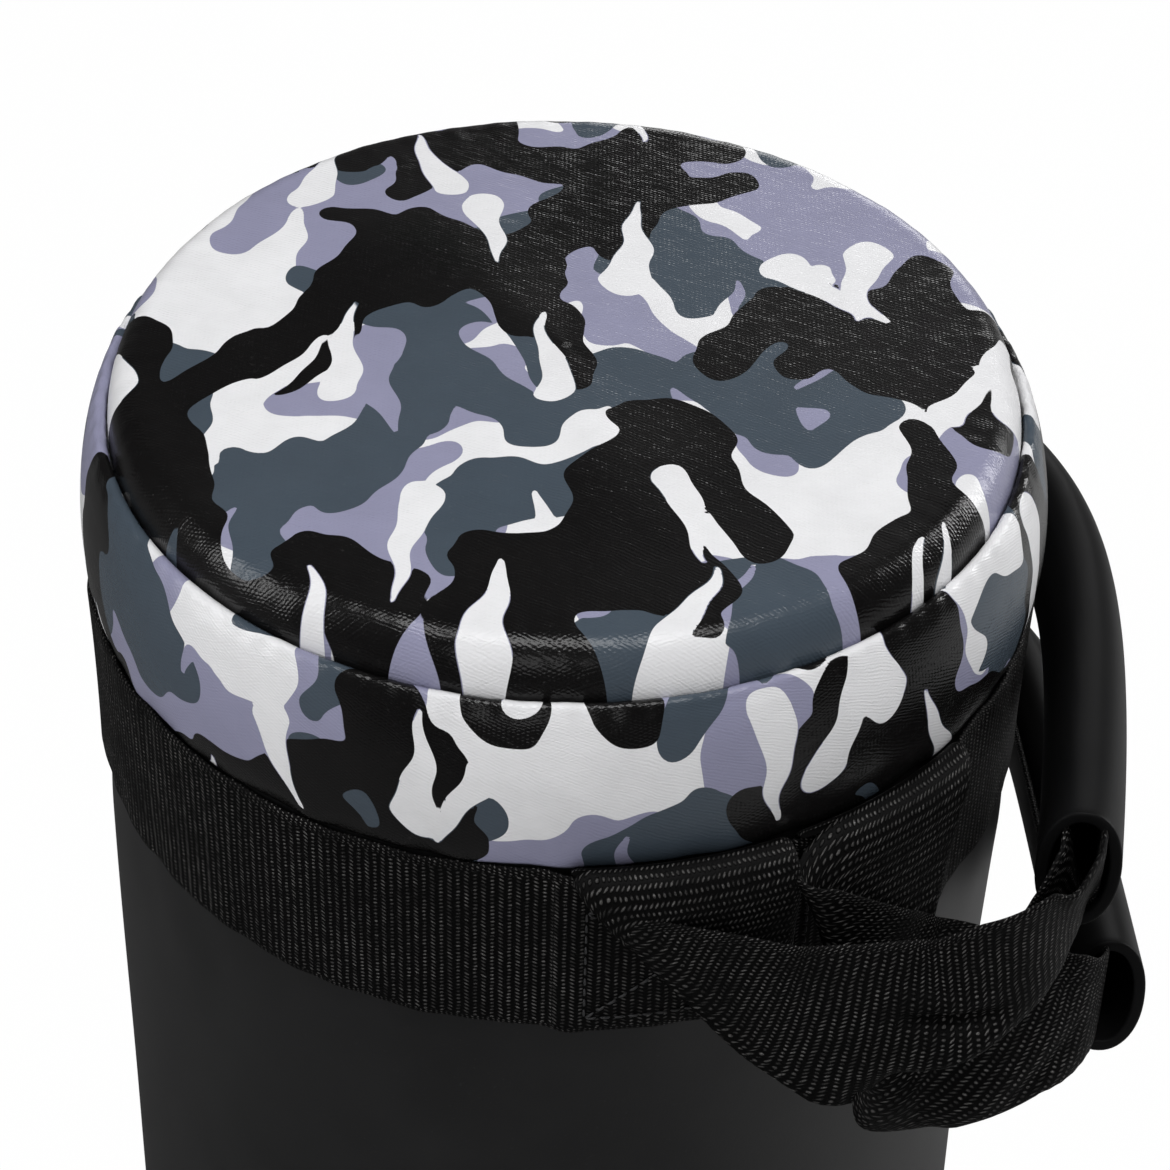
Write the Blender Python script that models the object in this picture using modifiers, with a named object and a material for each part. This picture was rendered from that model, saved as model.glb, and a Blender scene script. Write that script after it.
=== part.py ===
"""Sandbag trainer: a filled vinyl cylinder with padded camouflage ends.

A band of webbing runs round it under each end cap. Two carrying handles are sewn under the
upper band. Each is one strap that passes through a pressed rubber hose, and they hang down
on the right and back of the bag.

All sizes are in metres. The bag stands on the floor at z = 0, with its axis on Z.
Azimuth is counted from the front (-Y) towards the right (+X).
"""

import math

import bmesh
import bpy
from mathutils import Matrix, Vector

# Whole bag
BAG_HEIGHT = 0.600
SLEEVE_RADIUS = 0.1132
SLEEVE_VINYL = 0.0012
CAP_VINYL = 0.0015
FIT_GAP = 0.0003
SOFT_GAP = 0.0005

# Webbing
WEBBING_WIDTH = 0.050
WEBBING_THICKNESS = 0.0015

# End caps, measured from the seam between the cap's side and the sleeve
CAP_HEIGHT = 0.0562
SKIRT_CLEARANCE = 0.0026
SEAM_RADIUS = 0.1093
SEAM_HEIGHT = 0.0445
LIP_RISE = 0.0030
LIP_RADIUS = 0.0050
PANEL_EDGE_ROUND = 0.0060
PANEL_SHOULDER_DROP = 0.0028
SLEEVE_OVERLAP = 0.010
BASE_FLAT_RADIUS = 0.098

# Padding and filling
FOAM_THICKNESS = 0.008
PAD_RADIUS = 0.1000
PAD_THICKNESS = 0.012
SACK_EDGE_RADIUS = 0.010
SHOULDER_HEIGHT = 0.036
NECK_RADIUS = 0.012
NECK_HEIGHT = 0.012
FRILL_RADIUS = 0.020
FRILL_HEIGHT = 0.010
WADDING_BORE = 0.026
TIE_RADIUS = 0.0012

# Handles
ROOT_PAIR_AZIMUTH_DEG = 26.65
ROOT_PITCH_DEG = 25.5
HINGE_DROP = 0.004
HOOK_LEG = 0.008
TAB_DEPTH = 0.046
GRIP_HALF_HEIGHT = 0.016
GRIP_HALF_THICKNESS = 0.0095
GRIP_WALL = 0.003
FOLDED_WIDTH = 0.0232
FOLDED_THICKNESS = 0.0032
STRAP_START_WIDTH = 0.003

# Box-and-cross stitching that holds each handle end through the band
STITCH_WIDTH = 0.042
STITCH_HEIGHT = 0.032
STITCH_LINE = 0.0012
STITCH_RISE = 0.0006
STITCH_DROP = 0.012

# Upper handle: where its grip bows round the bag, and the pulls that bend the strap's legs.
# A standoff is the clear gap from the bag to the middle of the grip.
UPPER_GRIP_STANDOFF = 0.0130
UPPER_GRIP_DROP = 0.0286
UPPER_GRIP_TILT_DEG = 11.0
UPPER_GRIP_SPREAD = 0.139
UPPER_GRIP_SLOPE_SHARE = 0.83
UPPER_GRIP_BEND = 0.045
UPPER_ROOT_PULL_SIDE = 0.0159
UPPER_ROOT_PULL_OUT = 0.0198
UPPER_ROOT_PULL_DOWN = 0.056
UPPER_MOUTH_PULL_SIDE = 0.021
UPPER_MOUTH_PULL_IN = 0.017
UPPER_MOUTH_PULL_DOWN = 0.031

# Lower handle
LOWER_GRIP_STANDOFF = 0.0173
LOWER_GRIP_DROP = 0.0965
LOWER_GRIP_TILT_DEG = 22.4
LOWER_GRIP_SPREAD = 0.135
LOWER_GRIP_SLOPE_SHARE = 0.54
LOWER_GRIP_BEND = 0.014
LOWER_ROOT_PULL_SIDE = 0.0065
LOWER_ROOT_PULL_OUT = 0.0072
LOWER_ROOT_PULL_DOWN = 0.041
LOWER_MOUTH_PULL_SIDE = 0.018
LOWER_MOUTH_PULL_IN = 0.012
LOWER_MOUTH_PULL_DOWN = 0.005

# Fineness of the faceted surfaces
TURN_STEPS = 48
INNER_STEPS = 32
TIE_STEPS = 16
TIE_SIDES = 6
LIP_POINTS = 4
LEG_POINTS = 14
GRIP_POINTS = 21
GRIP_SIDES = 12
STRAP_WIDENS_SHARE = 0.25
STRAP_FOLDS_SHARE = 0.55

# Cutter sizes
CUT_REACH = 0.2
CUT_START = 0.06

# Worked out from the sizes above
SKIRT_RADIUS = SLEEVE_RADIUS + FIT_GAP + CAP_VINYL
TAB_INNER = SLEEVE_RADIUS + FIT_GAP
TAB_OUTER = TAB_INNER + WEBBING_THICKNESS
BAND_INNER = TAB_OUTER + FIT_GAP
BAND_OUTER = BAND_INNER + WEBBING_THICKNESS
HOOK_INNER = BAND_OUTER + FIT_GAP
HOOK_OUTER = HOOK_INNER + WEBBING_THICKNESS
LINING_RADIUS = SLEEVE_RADIUS - SLEEVE_VINYL - FIT_GAP
FILLING_RADIUS = LINING_RADIUS - FOAM_THICKNESS - SOFT_GAP
CAP_SEAM_Z = BAG_HEIGHT - CAP_HEIGHT
HINGE_Z = CAP_SEAM_Z - HINGE_DROP
HALF_PITCH = math.radians(ROOT_PITCH_DEG) / 2
CHORD_OFFSET = BAND_OUTER * math.sin(HALF_PITCH)
UPPER_GRIP_REACH = BAND_OUTER + UPPER_GRIP_STANDOFF + GRIP_HALF_THICKNESS
LOWER_GRIP_REACH = SLEEVE_RADIUS + LOWER_GRIP_STANDOFF + GRIP_HALF_THICKNESS
STITCH_INNER = BAND_OUTER + FIT_GAP

COLLECTION_NAME = "sandbag_trainer"
CUTTER_COLLECTION_NAME = "cutters"


def clear_scene():
    """Remove every object, so that the script can be run again."""
    for old in list(bpy.data.objects):
        bpy.data.objects.remove(old, do_unlink=True)
    for old in list(bpy.data.collections):
        bpy.data.collections.remove(old)


def make_collection(name):
    """A collection linked to the scene."""
    collection = bpy.data.collections.new(name)
    bpy.context.scene.collection.children.link(collection)
    return collection


def material(name, colour, roughness, metallic=0.0):
    """A Principled material of one colour."""
    mat = bpy.data.materials.new(name)
    mat.use_nodes = True
    shader = mat.node_tree.nodes["Principled BSDF"]
    shader.inputs["Base Color"].default_value = (*colour, 1.0)
    shader.inputs["Roughness"].default_value = roughness
    shader.inputs["Metallic"].default_value = metallic
    return mat


def add_object(name, mesh, mat):
    """Put a mesh in the scene as a part with its material."""
    mesh.materials.append(mat)
    part = bpy.data.objects.new(name, mesh)
    bpy.data.collections[COLLECTION_NAME].objects.link(part)
    return part


def outward(azimuth):
    """Unit vector that points away from the bag's axis at an azimuth."""
    return Vector((math.sin(azimuth), -math.cos(azimuth), 0.0))


def turned(name, profile, mat, steps=TURN_STEPS, closed=True, wall=0.0):
    """Turn a profile of (radius, z) points round Z.

    A closed profile gives a solid. An open one gives a surface, and wall is the thickness
    that it is given on its inner side.
    """
    count = len(profile)
    edges = [(i, i + 1) for i in range(count - 1)]
    if closed:
        edges.append((count - 1, 0))
    mesh = bpy.data.meshes.new(name)
    mesh.from_pydata([(radius, 0.0, z) for radius, z in profile], edges, [])
    part = add_object(name, mesh, mat)
    screw = part.modifiers.new("turn", "SCREW")
    screw.axis = "Z"
    screw.steps = steps
    screw.render_steps = steps
    screw.use_merge_vertices = True
    screw.merge_threshold = 0.00001
    screw.use_smooth_shade = True
    if wall:
        solid = part.modifiers.new("wall", "SOLIDIFY")
        solid.thickness = wall
        solid.offset = -1.0
    return part


def smooth_step(share):
    """Ease from 0 to 1, level at both ends."""
    share = min(max(share, 0.0), 1.0)
    return share * share * (3.0 - 2.0 * share)


def quarter_round(radius, top, inset, drop, points):
    """Points of a quarter ellipse, from level at the top to upright at the side."""
    turn = math.pi / 2
    angles = [turn * i / points for i in range(points + 1)]
    return [(radius - inset + inset * math.sin(a), top - drop + drop * math.cos(a)) for a in angles]


def skirt_profile():
    """Outer line of a cap's side and its rolled lip, heights counted from the cap seam."""
    lip_top = SEAM_HEIGHT + LIP_RISE
    lip = quarter_round(SKIRT_RADIUS, lip_top, LIP_RADIUS, LIP_RADIUS, LIP_POINTS)
    start = (SEAM_RADIUS, SEAM_HEIGHT + LIP_RISE / 2)
    return [start] + lip + [(SKIRT_RADIUS, SKIRT_CLEARANCE)]


def panel_profile(crown):
    """Outer line of an end panel, from its middle to the edge that is sewn in behind the lip.

    The panel swells up out of the seam with a rounded edge. Crown is how far its middle
    stands above the shoulder.
    """
    edge = SEAM_RADIUS - FIT_GAP
    shoulder = CAP_HEIGHT - PANEL_SHOULDER_DROP
    drop = shoulder - SEAM_HEIGHT + FIT_GAP
    rim = quarter_round(edge, shoulder, PANEL_EDGE_ROUND, drop, LIP_POINTS)
    flat = rim[0][0]
    middle = []
    for share in (0.0, 0.4, 0.75):
        middle.append((flat * share, shoulder + crown * (1.0 - share * share)))
    return middle + rim


def stood_on_seam(profile):
    """Heights of the upper cap, from heights above its seam."""
    return [(radius, CAP_SEAM_Z + height) for radius, height in profile]


def hung_from_seam(profile):
    """Heights of the lower cap: the upper one turned over, and listed backwards."""
    return [(radius, CAP_HEIGHT - height) for radius, height in reversed(profile)]


def base_profile():
    """Outer line of the bottom panel, which the bag's weight presses flat on the floor."""
    edge = SEAM_RADIUS - FIT_GAP
    drop = CAP_HEIGHT - SEAM_HEIGHT + FIT_GAP
    rim = quarter_round(edge, CAP_HEIGHT, edge - BASE_FLAT_RADIUS, drop, LIP_POINTS)
    return [(0.0, CAP_HEIGHT)] + rim


def ring(name, inner, outer, bottom, top, mat, steps=TURN_STEPS):
    """A plain ring with an upright wall."""
    profile = [(outer, top), (outer, bottom), (inner, bottom), (inner, top)]
    return turned(name, profile, mat, steps)


def make_caps(mats):
    """The four vinyl pieces of the two end caps."""
    turned("top_skirt", stood_on_seam(skirt_profile()), mats["camo"], closed=False, wall=CAP_VINYL)
    turned("top_panel", stood_on_seam(panel_profile(PANEL_SHOULDER_DROP)), mats["camo"],
           closed=False, wall=CAP_VINYL)
    turned("bottom_skirt", hung_from_seam(skirt_profile()), mats["camo"], closed=False, wall=CAP_VINYL)
    turned("bottom_panel", hung_from_seam(base_profile()), mats["camo"], closed=False, wall=CAP_VINYL)


def make_sleeve(mats):
    """The body's vinyl tube and the foam sheet that lines it."""
    bottom = CAP_HEIGHT - SLEEVE_OVERLAP
    top = CAP_SEAM_Z + SLEEVE_OVERLAP
    ring("body_sleeve", SLEEVE_RADIUS - SLEEVE_VINYL, SLEEVE_RADIUS, bottom, top, mats["vinyl"])
    low, high = filling_span()
    ring("foam_lining", LINING_RADIUS - FOAM_THICKNESS, LINING_RADIUS, low, high, mats["foam"])


def filling_span():
    """Lowest and highest z of the space between the two end pads."""
    low = CAP_VINYL + FIT_GAP + PAD_THICKNESS + SOFT_GAP
    shoulder = BAG_HEIGHT - PANEL_SHOULDER_DROP
    high = shoulder - CAP_VINYL - SOFT_GAP - PAD_THICKNESS
    return low, high


def make_pads(mats):
    """Foam discs that round out the two ends."""
    low, high = filling_span()
    base = CAP_VINYL + FIT_GAP
    ring_low = low - SOFT_GAP
    lower = [(0.0, ring_low), (PAD_RADIUS, ring_low), (PAD_RADIUS, base + SOFT_GAP),
             (BASE_FLAT_RADIUS - CAP_VINYL, base), (0.0, base)]
    turned("bottom_foam_pad", lower, mats["foam"], INNER_STEPS)
    crown = panel_profile(PANEL_SHOULDER_DROP)[:3]
    skin = CAP_VINYL + SOFT_GAP
    dome = [(radius * PAD_RADIUS / SEAM_RADIUS, CAP_SEAM_Z + height - skin) for radius, height in crown]
    shoulder = BAG_HEIGHT - PANEL_SHOULDER_DROP - skin
    upper = dome + [(PAD_RADIUS, shoulder), (PAD_RADIUS, high), (0.0, high)]
    turned("top_foam_pad", upper, mats["foam"], INNER_STEPS)


def sack_profile(bottom, shoulder_top):
    """A filled sack: a stout body, a sloping shoulder, and a tied neck with a frill."""
    side_top = shoulder_top - SHOULDER_HEIGHT
    neck_top = shoulder_top + NECK_HEIGHT
    frill_top = neck_top + FRILL_HEIGHT
    return [
        (0.0, frill_top),
        (FRILL_RADIUS, frill_top),
        (NECK_RADIUS, neck_top),
        (NECK_RADIUS, shoulder_top),
        (FILLING_RADIUS / 2, shoulder_top - SHOULDER_HEIGHT / 4),
        (FILLING_RADIUS, side_top),
        (FILLING_RADIUS, bottom + SACK_EDGE_RADIUS),
        (FILLING_RADIUS - SACK_EDGE_RADIUS, bottom),
        (0.0, bottom),
    ]


def tie_profile(middle):
    """Round section of the tie that holds a sack's neck shut."""
    centre = NECK_RADIUS + FIT_GAP + TIE_RADIUS
    step = 2 * math.pi / TIE_SIDES
    turns = [step * i for i in range(TIE_SIDES)]
    return [(centre + TIE_RADIUS * math.cos(a), middle - TIE_RADIUS * math.sin(a)) for a in turns]


def make_filling(mats):
    """Two sacks of sand, one on the other, with a ring of wadding round each neck."""
    low, high = filling_span()
    storey = (high - low) / 2
    for index, name in enumerate(("lower", "upper")):
        bottom = low + storey * index
        top = bottom + storey - SOFT_GAP
        shoulder_top = top - SOFT_GAP - FRILL_HEIGHT - NECK_HEIGHT
        turned(f"{name}_sand_sack", sack_profile(bottom, shoulder_top), mats["sack"], INNER_STEPS)
        turned(f"{name}_sack_tie", tie_profile(shoulder_top + NECK_HEIGHT / 2), mats["tie"], TIE_STEPS)
        slope_low = shoulder_top - SHOULDER_HEIGHT + SOFT_GAP
        half_height = shoulder_top - SHOULDER_HEIGHT / 4 + SOFT_GAP
        bore_share = (WADDING_BORE - NECK_RADIUS) / (FILLING_RADIUS / 2 - NECK_RADIUS)
        bore_low = shoulder_top - SHOULDER_HEIGHT / 4 * bore_share + SOFT_GAP
        wadding = [
            (FILLING_RADIUS, top),
            (FILLING_RADIUS, slope_low),
            (FILLING_RADIUS / 2, half_height),
            (WADDING_BORE, bore_low),
            (WADDING_BORE, top),
        ]
        turned(f"{name}_wadding", wadding, mats["wadding"], INNER_STEPS)


def make_bands(mats):
    """The two rings of webbing below the caps. The upper one lies over the handles' ends."""
    ring("upper_band", BAND_INNER, BAND_OUTER, CAP_SEAM_Z - WEBBING_WIDTH, CAP_SEAM_Z, mats["webbing"])
    inner = SLEEVE_RADIUS + FIT_GAP
    ring("lower_band", inner, inner + WEBBING_THICKNESS, CAP_HEIGHT, CAP_HEIGHT + WEBBING_WIDTH,
         mats["webbing"])


def hook_profile():
    """Section of a handle's sewn end: up behind the band, over its edge and down in front."""
    lip_low = CAP_SEAM_Z + FIT_GAP
    lip_high = lip_low + WEBBING_THICKNESS
    return [
        (TAB_INNER + WEBBING_THICKNESS, lip_high),
        (HOOK_INNER, lip_high),
        (HOOK_OUTER, lip_low),
        (HOOK_OUTER, CAP_SEAM_Z - HOOK_LEG),
        (HOOK_INNER, CAP_SEAM_Z - HOOK_LEG),
        (HOOK_INNER, lip_low),
        (TAB_OUTER, lip_low),
        (TAB_OUTER, CAP_SEAM_Z - TAB_DEPTH),
        (TAB_INNER, CAP_SEAM_Z - TAB_DEPTH),
        (TAB_INNER, lip_low),
    ]


def wedge_cutter(name, azimuth, width):
    """A box that reaches out from near the axis and keeps one width of a ring."""
    bpy.ops.mesh.primitive_cube_add(size=1.0)
    cutter = bpy.context.object
    cutter.name = name
    for holder in list(cutter.users_collection):
        holder.objects.unlink(cutter)
    bpy.data.collections[CUTTER_COLLECTION_NAME].objects.link(cutter)
    depth = CUT_REACH - CUT_START
    size = Matrix.Diagonal((width, depth, BAG_HEIGHT, 1.0))
    place = Matrix.Translation(outward(azimuth) * (CUT_START + depth / 2))
    place.translation.z = CAP_SEAM_Z
    cutter.data.transform(place @ Matrix.Rotation(azimuth, 4, "Z") @ size)
    cutter.hide_render = True
    cutter.display_type = "WIRE"
    return cutter


def make_tab(name, azimuth, mats):
    """The end of a handle strap, sewn between the sleeve and the band."""
    tab = turned(name, hook_profile(), mats["webbing"])
    keep = tab.modifiers.new("width", "BOOLEAN")
    keep.operation = "INTERSECT"
    keep.solver = "EXACT"
    keep.object = wedge_cutter(f"{name}_cutter", azimuth, WEBBING_WIDTH)
    return tab


def box_and_cross_outlines():
    """Outline of the stitched pattern: a rectangle, and the four triangles left open in it."""
    wide = STITCH_WIDTH / 2
    high = STITCH_HEIGHT / 2
    diagonal = math.hypot(wide, high)
    along = STITCH_LINE / 2 * diagonal / high
    up = STITCH_LINE / 2 * diagonal / wide
    inner_wide = wide - STITCH_LINE
    inner_high = high - STITCH_LINE
    reach_wide = inner_high * wide / high - along
    reach_high = inner_wide * high / wide - up
    outlines = [[(-wide, -high), (wide, -high), (wide, high), (-wide, high)]]
    for side in (-1, 1):
        outlines.append([(0.0, up * side), (reach_wide, inner_high * side), (-reach_wide, inner_high * side)])
        outlines.append([(along * side, 0.0), (inner_wide * side, reach_high),
                         (inner_wide * side, -reach_high)])
    return outlines


def pattern_cutter(name, azimuth):
    """A prism with the stitched pattern as its section, which reaches out through the band."""
    curve = bpy.data.curves.new(name, "CURVE")
    curve.dimensions = "2D"
    curve.fill_mode = "BOTH"
    curve.extrude = (CUT_REACH - CUT_START) / 2
    for outline in box_and_cross_outlines():
        spline = curve.splines.new("POLY")
        spline.points.add(len(outline) - 1)
        for point, (x, y) in zip(spline.points, outline):
            point.co = (x, y, 0.0, 1.0)
        spline.use_cyclic_u = True
    draft = bpy.data.objects.new(f"{name}_outline", curve)
    bpy.data.collections[CUTTER_COLLECTION_NAME].objects.link(draft)
    bpy.context.view_layer.update()
    solid = draft.evaluated_get(bpy.context.evaluated_depsgraph_get())
    mesh = bpy.data.meshes.new_from_object(solid)
    bpy.data.objects.remove(draft, do_unlink=True)
    work = bmesh.new()
    work.from_mesh(mesh)
    bmesh.ops.remove_doubles(work, verts=work.verts, dist=STITCH_LINE / 1000)
    bmesh.ops.recalc_face_normals(work, faces=work.faces)
    place = Matrix.Translation(outward(azimuth) * (CUT_START + CUT_REACH) / 2)
    place.translation.z = CAP_SEAM_Z - STITCH_DROP - STITCH_HEIGHT / 2
    stand = Matrix.Rotation(azimuth, 4, "Z") @ Matrix.Rotation(math.pi / 2, 4, "X")
    bmesh.ops.transform(work, matrix=place @ stand, verts=work.verts)
    work.to_mesh(mesh)
    work.free()
    cutter = bpy.data.objects.new(name, mesh)
    bpy.data.collections[CUTTER_COLLECTION_NAME].objects.link(cutter)
    cutter.hide_render = True
    cutter.display_type = "WIRE"
    return cutter


def make_stitching(name, azimuth, mats):
    """Thread that lies on the band in a box and a cross, over a handle's sewn end."""
    bottom = CAP_SEAM_Z - WEBBING_WIDTH
    thread = ring(name, STITCH_INNER, STITCH_INNER + STITCH_RISE, bottom, CAP_SEAM_Z, mats["thread"])
    keep = thread.modifiers.new("pattern", "BOOLEAN")
    keep.operation = "INTERSECT"
    keep.solver = "EXACT"
    keep.object = pattern_cutter(f"{name}_cutter", azimuth)
    return thread


class HandleShape:
    """Where one handle lies at rest.

    The two roots of a handle lie on a chord of the bag, square to the pair's middle plane.
    Side is measured along the chord, reach along the middle plane and away from the axis.
    """

    def __init__(self, chord, reach, drop, tilt_deg, spread, slope, bend, root_pull, mouth_pull):
        self.chord = chord
        self.tip_reach = reach
        self.tip_drop = drop
        self.tilt = math.radians(tilt_deg)
        self.spread = spread
        self.slope = slope
        self.bend = bend
        self.root_pull = root_pull
        self.mouth_pull = mouth_pull
        front = math.radians(ROOT_PAIR_AZIMUTH_DEG)
        self.side_axis = outward(front)
        self.reach_axis = outward(front + math.pi / 2)

    def hinge(self):
        """Middle of the chord that the handle turns about."""
        return self.reach_axis * self.chord + Vector((0.0, 0.0, HINGE_Z))

    def place(self, side, reach, z):
        """World point from side, reach and height."""
        return self.side_axis * side + self.reach_axis * reach + Vector((0.0, 0.0, z))

    def bow(self, side):
        """Middle line of the grip: a hyperbola, straight at the ends and bent in the middle."""
        back = math.hypot(self.bend, self.slope * side) - self.bend
        reach = self.tip_reach - back * math.cos(self.tilt)
        z = CAP_SEAM_Z - self.tip_drop + back * math.sin(self.tilt)
        return reach, z

    def leg(self, share):
        """Side, reach and z of the strap's middle, from its root (0) to the grip's mouth (1).

        It is a cubic Bezier curve whose two inner points are the pulls at its ends.
        """
        start_side = math.sqrt(HOOK_OUTER ** 2 - self.chord ** 2)
        start = (start_side + SOFT_GAP + WEBBING_THICKNESS / 2, self.chord, HINGE_Z)
        reach, z = self.bow(self.spread)
        end = (self.spread, reach, z)
        rest = 1.0 - share
        weights = (rest ** 3, 3 * rest * rest * share, 3 * rest * share * share, share ** 3)
        near = [s + p for s, p in zip(start, self.root_pull)]
        far = [e + p for e, p in zip(end, self.mouth_pull)]
        rows = (start, near, far, end)
        return [sum(w * row[axis] for w, row in zip(weights, rows)) for axis in range(3)]

    def stations(self):
        """The strap from root to root: world point, width, thickness and how far it is folded."""
        leg = []
        for i in range(LEG_POINTS):
            share = i / LEG_POINTS
            widen = smooth_step(share / STRAP_WIDENS_SHARE)
            fold = smooth_step((share - STRAP_FOLDS_SHARE) / (1.0 - STRAP_FOLDS_SHARE))
            width = STRAP_START_WIDTH + (WEBBING_WIDTH - STRAP_START_WIDTH) * widen
            width += (FOLDED_WIDTH - width) * fold
            thick = WEBBING_THICKNESS + (FOLDED_THICKNESS - WEBBING_THICKNESS) * fold
            leg.append((self.leg(share), width, thick, fold))
        grip = [(self.grip_point(i), FOLDED_WIDTH, FOLDED_THICKNESS, 1.0) for i in range(GRIP_POINTS)]
        back = [((-side, reach, z), *size) for (side, reach, z), *size in reversed(leg)]
        return [(self.place(*point), *size) for point, *size in leg + grip + back]

    def grip_point(self, index):
        """Side, reach and z of one station of the grip's middle line."""
        side = self.spread * (1.0 - 2.0 * index / (GRIP_POINTS - 1))
        return (side, *self.bow(side))


def path_directions(points):
    """Unit tangent at each point of a line."""
    count = len(points)
    spans = [points[min(i + 1, count - 1)] - points[max(i - 1, 0)] for i in range(count)]
    return [span.normalized() for span in spans]


def loft(name, rings, mat, capped):
    """Skin a row of rings that have equally many points each."""
    mesh = bpy.data.meshes.new(name)
    work = bmesh.new()
    rows = [[work.verts.new(point) for point in points] for points in rings]
    count = len(rows[0])
    for near, far in zip(rows, rows[1:]):
        for i in range(count):
            after = (i + 1) % count
            work.faces.new((near[i], near[after], far[after], far[i]))
    if capped:
        work.faces.new(list(reversed(rows[0])))
        work.faces.new(rows[-1])
    bmesh.ops.recalc_face_normals(work, faces=work.faces)
    work.to_mesh(mesh)
    work.free()
    return add_object(name, mesh, mat)


def make_strap(name, shape, origin, mat):
    """The free webbing of a handle: two flat legs, and a folded run inside the grip.

    The width of the legs stays upright. The section is a rectangle that starts narrow at the
    root, opens to the full width and is folded together before it enters the grip, where it
    leans with the grip's oval.
    """
    stations = shape.stations()
    points = [station[0] for station in stations]
    inside = path_directions(points[LEG_POINTS:LEG_POINTS + GRIP_POINTS])
    leans = [inside[0]] * LEG_POINTS + inside + [inside[-1]] * LEG_POINTS
    tangents = path_directions(points)
    tangents[LEG_POINTS:LEG_POINTS + GRIP_POINTS] = inside
    rings = []
    for (point, width, thick, fold), tangent, lean in zip(stations, tangents, leans):
        level = Vector((tangent.x, tangent.y, 0.0)).normalized()
        across = Vector((level.y, -level.x, 0.0)) * (thick / 2)
        up = (Vector((0.0, 0.0, 1.0)) - lean * (lean.z * fold)).normalized() * (width / 2)
        middle = point - origin
        rings.append([middle + across + up, middle + across - up, middle - across - up,
                      middle - across + up])
    return loft(name, rings, mat, capped=True)


def make_grip(name, shape, origin, mat):
    """A length of rubber hose that the folded strap presses to an upright oval."""
    points = [shape.place(*shape.grip_point(i)) for i in range(GRIP_POINTS)]
    rings = []
    for point, tangent in zip(points, path_directions(points)):
        up = (Vector((0.0, 0.0, 1.0)) - tangent * tangent.z).normalized()
        across = up.cross(tangent)
        turns = [2 * math.pi * i / GRIP_SIDES for i in range(GRIP_SIDES)]
        middle = point - origin
        rings.append([middle + up * (GRIP_HALF_HEIGHT * math.cos(a))
                      + across * (GRIP_HALF_THICKNESS * math.sin(a)) for a in turns])
    grip = loft(name, rings, mat, capped=False)
    grip.data.shade_smooth()
    wall = grip.modifiers.new("wall", "SOLIDIFY")
    wall.thickness = GRIP_WALL
    wall.offset = -1.0
    wall.use_even_offset = True
    return grip


def make_handle(name, shape, mats):
    """One handle: two sewn ends on the bag, and a strap and grip that turn on the chord."""
    pivot = bpy.data.objects.new(f"{name}_pivot", None)
    bpy.data.collections[COLLECTION_NAME].objects.link(pivot)
    pivot.location = shape.hinge()
    for piece in (
        make_strap(f"{name}_strap", shape, shape.hinge(), mats["webbing"]),
        make_grip(f"{name}_grip", shape, shape.hinge(), mats["rubber"]),
    ):
        piece.parent = pivot
    front = math.radians(ROOT_PAIR_AZIMUTH_DEG)
    turn = math.copysign(HALF_PITCH, shape.chord)
    for end, azimuth in (("front", front + turn), ("back", front + math.pi - turn)):
        make_tab(f"{name}_{end}_tab", azimuth, mats)
        make_stitching(f"{name}_{end}_stitching", azimuth, mats)


def make_handles(mats):
    """The two handles, whose chords lie one on each side of the bag's axis."""
    upper_root = (UPPER_ROOT_PULL_SIDE, UPPER_ROOT_PULL_OUT, -UPPER_ROOT_PULL_DOWN)
    upper_mouth = (UPPER_MOUTH_PULL_SIDE, -UPPER_MOUTH_PULL_IN, -UPPER_MOUTH_PULL_DOWN)
    upper = HandleShape(-CHORD_OFFSET, UPPER_GRIP_REACH, UPPER_GRIP_DROP, UPPER_GRIP_TILT_DEG,
                        UPPER_GRIP_SPREAD, UPPER_GRIP_SLOPE_SHARE, UPPER_GRIP_BEND,
                        upper_root, upper_mouth)
    lower_root = (LOWER_ROOT_PULL_SIDE, LOWER_ROOT_PULL_OUT, -LOWER_ROOT_PULL_DOWN)
    lower_mouth = (LOWER_MOUTH_PULL_SIDE, -LOWER_MOUTH_PULL_IN, -LOWER_MOUTH_PULL_DOWN)
    lower = HandleShape(CHORD_OFFSET, LOWER_GRIP_REACH, LOWER_GRIP_DROP, LOWER_GRIP_TILT_DEG,
                        LOWER_GRIP_SPREAD, LOWER_GRIP_SLOPE_SHARE, LOWER_GRIP_BEND,
                        lower_root, lower_mouth)
    make_handle("upper_handle", upper, mats)
    make_handle("lower_handle", lower, mats)
    return upper, lower


def make_materials():
    """One material for each kind of surface."""
    return {
        "camo": material("camo_vinyl", (0.46, 0.47, 0.53), 0.42),
        "vinyl": material("black_vinyl", (0.012, 0.012, 0.013), 0.45),
        "webbing": material("black_webbing", (0.010, 0.010, 0.011), 0.75),
        "rubber": material("black_rubber", (0.016, 0.016, 0.017), 0.55),
        "thread": material("black_thread", (0.022, 0.022, 0.024), 0.60),
        "foam": material("grey_foam", (0.30, 0.31, 0.33), 0.95),
        "sack": material("woven_sack", (0.62, 0.56, 0.44), 0.85),
        "tie": material("nylon_tie", (0.75, 0.75, 0.72), 0.40),
        "wadding": material("textile_wadding", (0.36, 0.34, 0.32), 1.0),
    }


def build():
    """Make the whole bag."""
    clear_scene()
    make_collection(COLLECTION_NAME)
    make_collection(CUTTER_COLLECTION_NAME)
    mats = make_materials()
    make_caps(mats)
    make_sleeve(mats)
    make_pads(mats)
    make_filling(mats)
    make_bands(mats)
    return make_handles(mats)


HANDLES = build()
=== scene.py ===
"""Sandbag trainer: the visual model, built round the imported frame.

Lengths are in metres. The bag's axis is Z and it stands on z = 0. An azimuth is counted from
the front (-Y) towards the right (+X). Every shape is a numpy grid of points.
"""
import math

import bmesh
import bpy
import numpy as np
from mathutils import Matrix, Vector


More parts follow.
